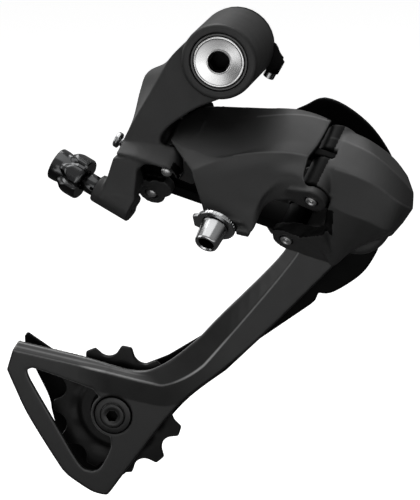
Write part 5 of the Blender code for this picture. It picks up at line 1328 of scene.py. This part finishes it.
# %% Riveted pins and the inner link
def riveted_pin(at, low, high):
    """A link pin with its lower end spread over: domed on the bracket, dished on the knuckle."""
    if at in (OUTER_B, INNER_B):
        profile = [(0.3, low), (0.9, low + 0.1), (1.4, low + 0.3), (1.8, low + 0.62), (2.02, low + 1.0)]
    else:
        profile = [(0.35, low + 0.05), (0.6, low + 0.12), (0.85, low + 0.38), (1.1, low + 0.1), (1.35, low),
                   (1.75, low + 0.08), (2.0, low + 0.25)]
    profile += [(2.1, low + 1.3), (2.1, high - 0.4), (1.7, high)]
    return turned(shifted(LINK, at), profile, 48)


PINS = (("outer_bracket_pin", OUTER_B, -7.2, 26.5, "bracket"),
        ("inner_bracket_pin", INNER_B, -6.5, 11.7, "bracket"),
        ("outer_knuckle_pin", OUTER_P, -4.6, 15.2, "knuckle"),
        ("inner_knuckle_pin", INNER_P, -12.3, 5.9, "knuckle"))
for node, at, low, high, body in PINS:
    finished(riveted_pin(at, low, high), node + "_riveted", PIN_STEEL, body, "steel", node)
finished(eased(copy_of("inner_link"), 0.3), "inner_link_bar", BLACK, "inner_arm", "black_steel", "inner_link")

# %% [markdown]
# ## Wheel bolts and small hidden pieces
# The wheel bolts sit in round seats of the outer plate: a flat flange, a raised button and a key
# socket. Bushes, caps, the cage axle and the stop pin are right as they are in the CAD and only
# take a finish, some with eased edges.


# %% Wheel bolts and caps
def wheel_bolt(at):
    face = PLATE_FACE - GAP
    profile = [(2.45, face - 0.75), (2.7, face - 0.9), (4.0, face - 0.9), (4.25, face - 0.82),
               (4.4, face - 0.6), (4.4, face - 0.02), (4.6, face + 0.14), (4.8, face), (6.4, face),
               (6.62, face + 0.08), (6.7, face + 0.3), (6.7, face + 1.1), (2.3, face + 1.1), (2.3, 16.1),
               (1.9, 16.5)]
    body = turned(side_frame(*at), profile, 72)
    return cut(body, prism(side_frame(*at), hexagon(WHEEL_KEY), face - 2, face + 2.2))


for at, name in ((GUIDE, "guide_pulley"), (TENSION, "tension_pulley")):
    finished(wheel_bolt(at), name + "_bolt_turned", PLATE_PAINT, "cage", "dark_metal", name + "_bolt",
             painted_shade_test=socket_test(side_frame(*at), 2.4, 0, 4))
    for cap in ("_outer_cap", "_inner_cap"):
        made = eased(copy_of(name + cap), 0.25)
        finished(made, name + cap + "_eased", BLACK, "cage", "black_steel", name + cap)
    repainted(name + "_bush", STEEL)
for node, material in (("cage_axle", STEEL), ("cage_stop_pin", BLACK), ("bracket_bush", BRONZE)):
    repainted(node, material)

# %% [markdown]
# ## Studio
# The photograph has a white ground, broad light from above, weaker light from ahead and from the
# left, and dark surroundings below. Six softboxes stand for it. The floor lies well below the part.
# Camera and see-through rays find floor and sky white. Glossy rays find the floor dark near the part
# and at the left and bright ahead of it, and the sky brighter upwards, as the paint's sheen shows.

# %% Floor and sky
FLOOR = -0.34
GLOSSY_NEAR, GLOSSY_AHEAD, GLOSSY_LOW, GLOSSY_HIGH, AMBIENT = 0.05, 1.0, 0.10, 0.35, 0.14


def ray_shares(tree):
    """One socket that is 1 for camera and see-through rays, and one that is 1 for glossy rays."""
    path = tree.nodes.new("ShaderNodeLightPath")
    seen = maths(tree, "MAXIMUM", path.outputs["Is Camera Ray"], path.outputs["Is Transmission Ray"])
    return seen, path.outputs["Is Glossy Ray"]


def glowing(tree, strength, kind="ShaderNodeEmission"):
    return add(tree, kind, [("Strength", strength)], Color=(1, 1, 1, 1)).outputs[0]


def pale_material():
    """A floor that the camera sees as white, with the part's shadow left on it."""
    material = bpy.data.materials.new("pale_floor")
    material.use_nodes = True
    tree = material.node_tree
    tree.nodes.clear()
    out = tree.nodes.new("ShaderNodeOutputMaterial")
    seen, glossy = ray_shares(tree)
    ground = add(tree, "ShaderNodeBsdfDiffuse", Color=(0.8, 0.8, 0.8, 1))
    glow = glowing(tree, maths(tree, "MULTIPLY", seen, 0.8))
    lit = add(tree, "ShaderNodeAddShader", [(0, ground.outputs[0]), (1, glow)])
    spot = add(tree, "ShaderNodeSeparateXYZ", [(0, add(tree, "ShaderNodeTexCoord").outputs["Object"])])
    ahead = ranged(tree, spot.outputs["Y"], (-0.4, -1.0), (GLOSSY_NEAR, GLOSSY_AHEAD), "SMOOTHSTEP")
    aside = ranged(tree, spot.outputs["X"], (-0.75, -0.3), (0.1, 1.0), "SMOOTHSTEP")
    mirrored = glowing(tree, maths(tree, "MULTIPLY", ahead, aside))
    both = add(tree, "ShaderNodeMixShader", [(0, glossy), (1, lit.outputs[0]), (2, mirrored)])
    tree.links.new(both.outputs[0], out.inputs["Surface"])
    return material


def pale_floor():
    half = 30.0
    mesh = bpy.data.meshes.new("floor")
    corners = [(-half, -half, FLOOR), (half, -half, FLOOR), (half, half, FLOOR), (-half, half, FLOOR)]
    mesh.from_pydata(corners, [], [[0, 1, 2, 3]])
    mesh.materials.append(pale_material())
    placed("floor", mesh)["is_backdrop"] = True


def sky():
    world = bpy.data.worlds.new("studio_sky")
    bpy.context.scene.world = world
    world.use_nodes = True
    tree = world.node_tree
    tree.nodes.clear()
    out = tree.nodes.new("ShaderNodeOutputWorld")
    seen, glossy = ray_shares(tree)
    heading = add(tree, "ShaderNodeSeparateXYZ", [(0, add(tree, "ShaderNodeTexCoord").outputs["Generated"])])
    dome = ranged(tree, heading.outputs["Z"], (-0.1, 0.5), (GLOSSY_LOW, GLOSSY_HIGH), "SMOOTHSTEP")
    shiny = maths(tree, "MULTIPLY", dome, glossy)
    soft = maths(tree, "MULTIPLY", maths(tree, "SUBTRACT", 1.0, glossy), AMBIENT)
    level = maths(tree, "MAXIMUM", maths(tree, "ADD", shiny, soft), seen)
    tree.links.new(glowing(tree, level, "ShaderNodeBackground"), out.inputs["Surface"])


pale_floor()
sky()


# %% Softboxes
def softbox(name, place, size, power, aim=(0.0, -0.02, -0.07)):
    light = bpy.data.lights.new(name, "AREA")
    light.shape = "RECTANGLE"
    light.size, light.size_y = size
    light.energy = power
    made = placed(name, light)
    made.location = place
    made.rotation_euler = (Vector(aim) - Vector(place)).to_track_quat("-Z", "Y").to_euler()


softbox("overhead", (-0.32, 0.34, 0.70), (0.8, 0.5), 5.0)
softbox("ceiling", (-0.05, -0.15, 1.1), (1.6, 1.2), 6.5)
softbox("front_fill", (0.05, -1.9, 0.02), (1.3, 0.9), 4.2)
softbox("left_side", (-1.1, -0.35, 0.25), (0.7, 0.7), 2.2)
softbox("left_back", (-0.9, 0.75, 0.12), (0.6, 0.6), 1.2)
softbox("low_left", (-0.32, -0.75, -0.29), (0.3, 0.2), 0.22)

# %% [markdown]
# ## Camera
# The view comes from solving the photograph for the round outlines and the wheel centres: a long
# lens, a little to the right of the side view and above it.

# %% Camera and closing measures
AZIMUTH, ELEVATION, DISTANCE = math.radians(12.8), math.radians(15.3), 1.5
TARGET = Vector((-5.41, -20.88, -70.06)) * MM
lens = bpy.data.cameras.new("camera")
lens.sensor_width = 36.0
lens.lens = 307.8
lens.clip_end = 100.0
camera = placed("camera", lens)
level = math.cos(ELEVATION)
back = Vector((math.sin(AZIMUTH) * level, -math.cos(AZIMUTH) * level, math.sin(ELEVATION)))
camera.location = TARGET + back * DISTANCE
camera.rotation_euler = (-back).to_track_quat("-Z", "Y").to_euler()
bpy.context.scene.camera = camera
bpy.context.scene.view_settings.view_transform = "Standard"

low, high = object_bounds()
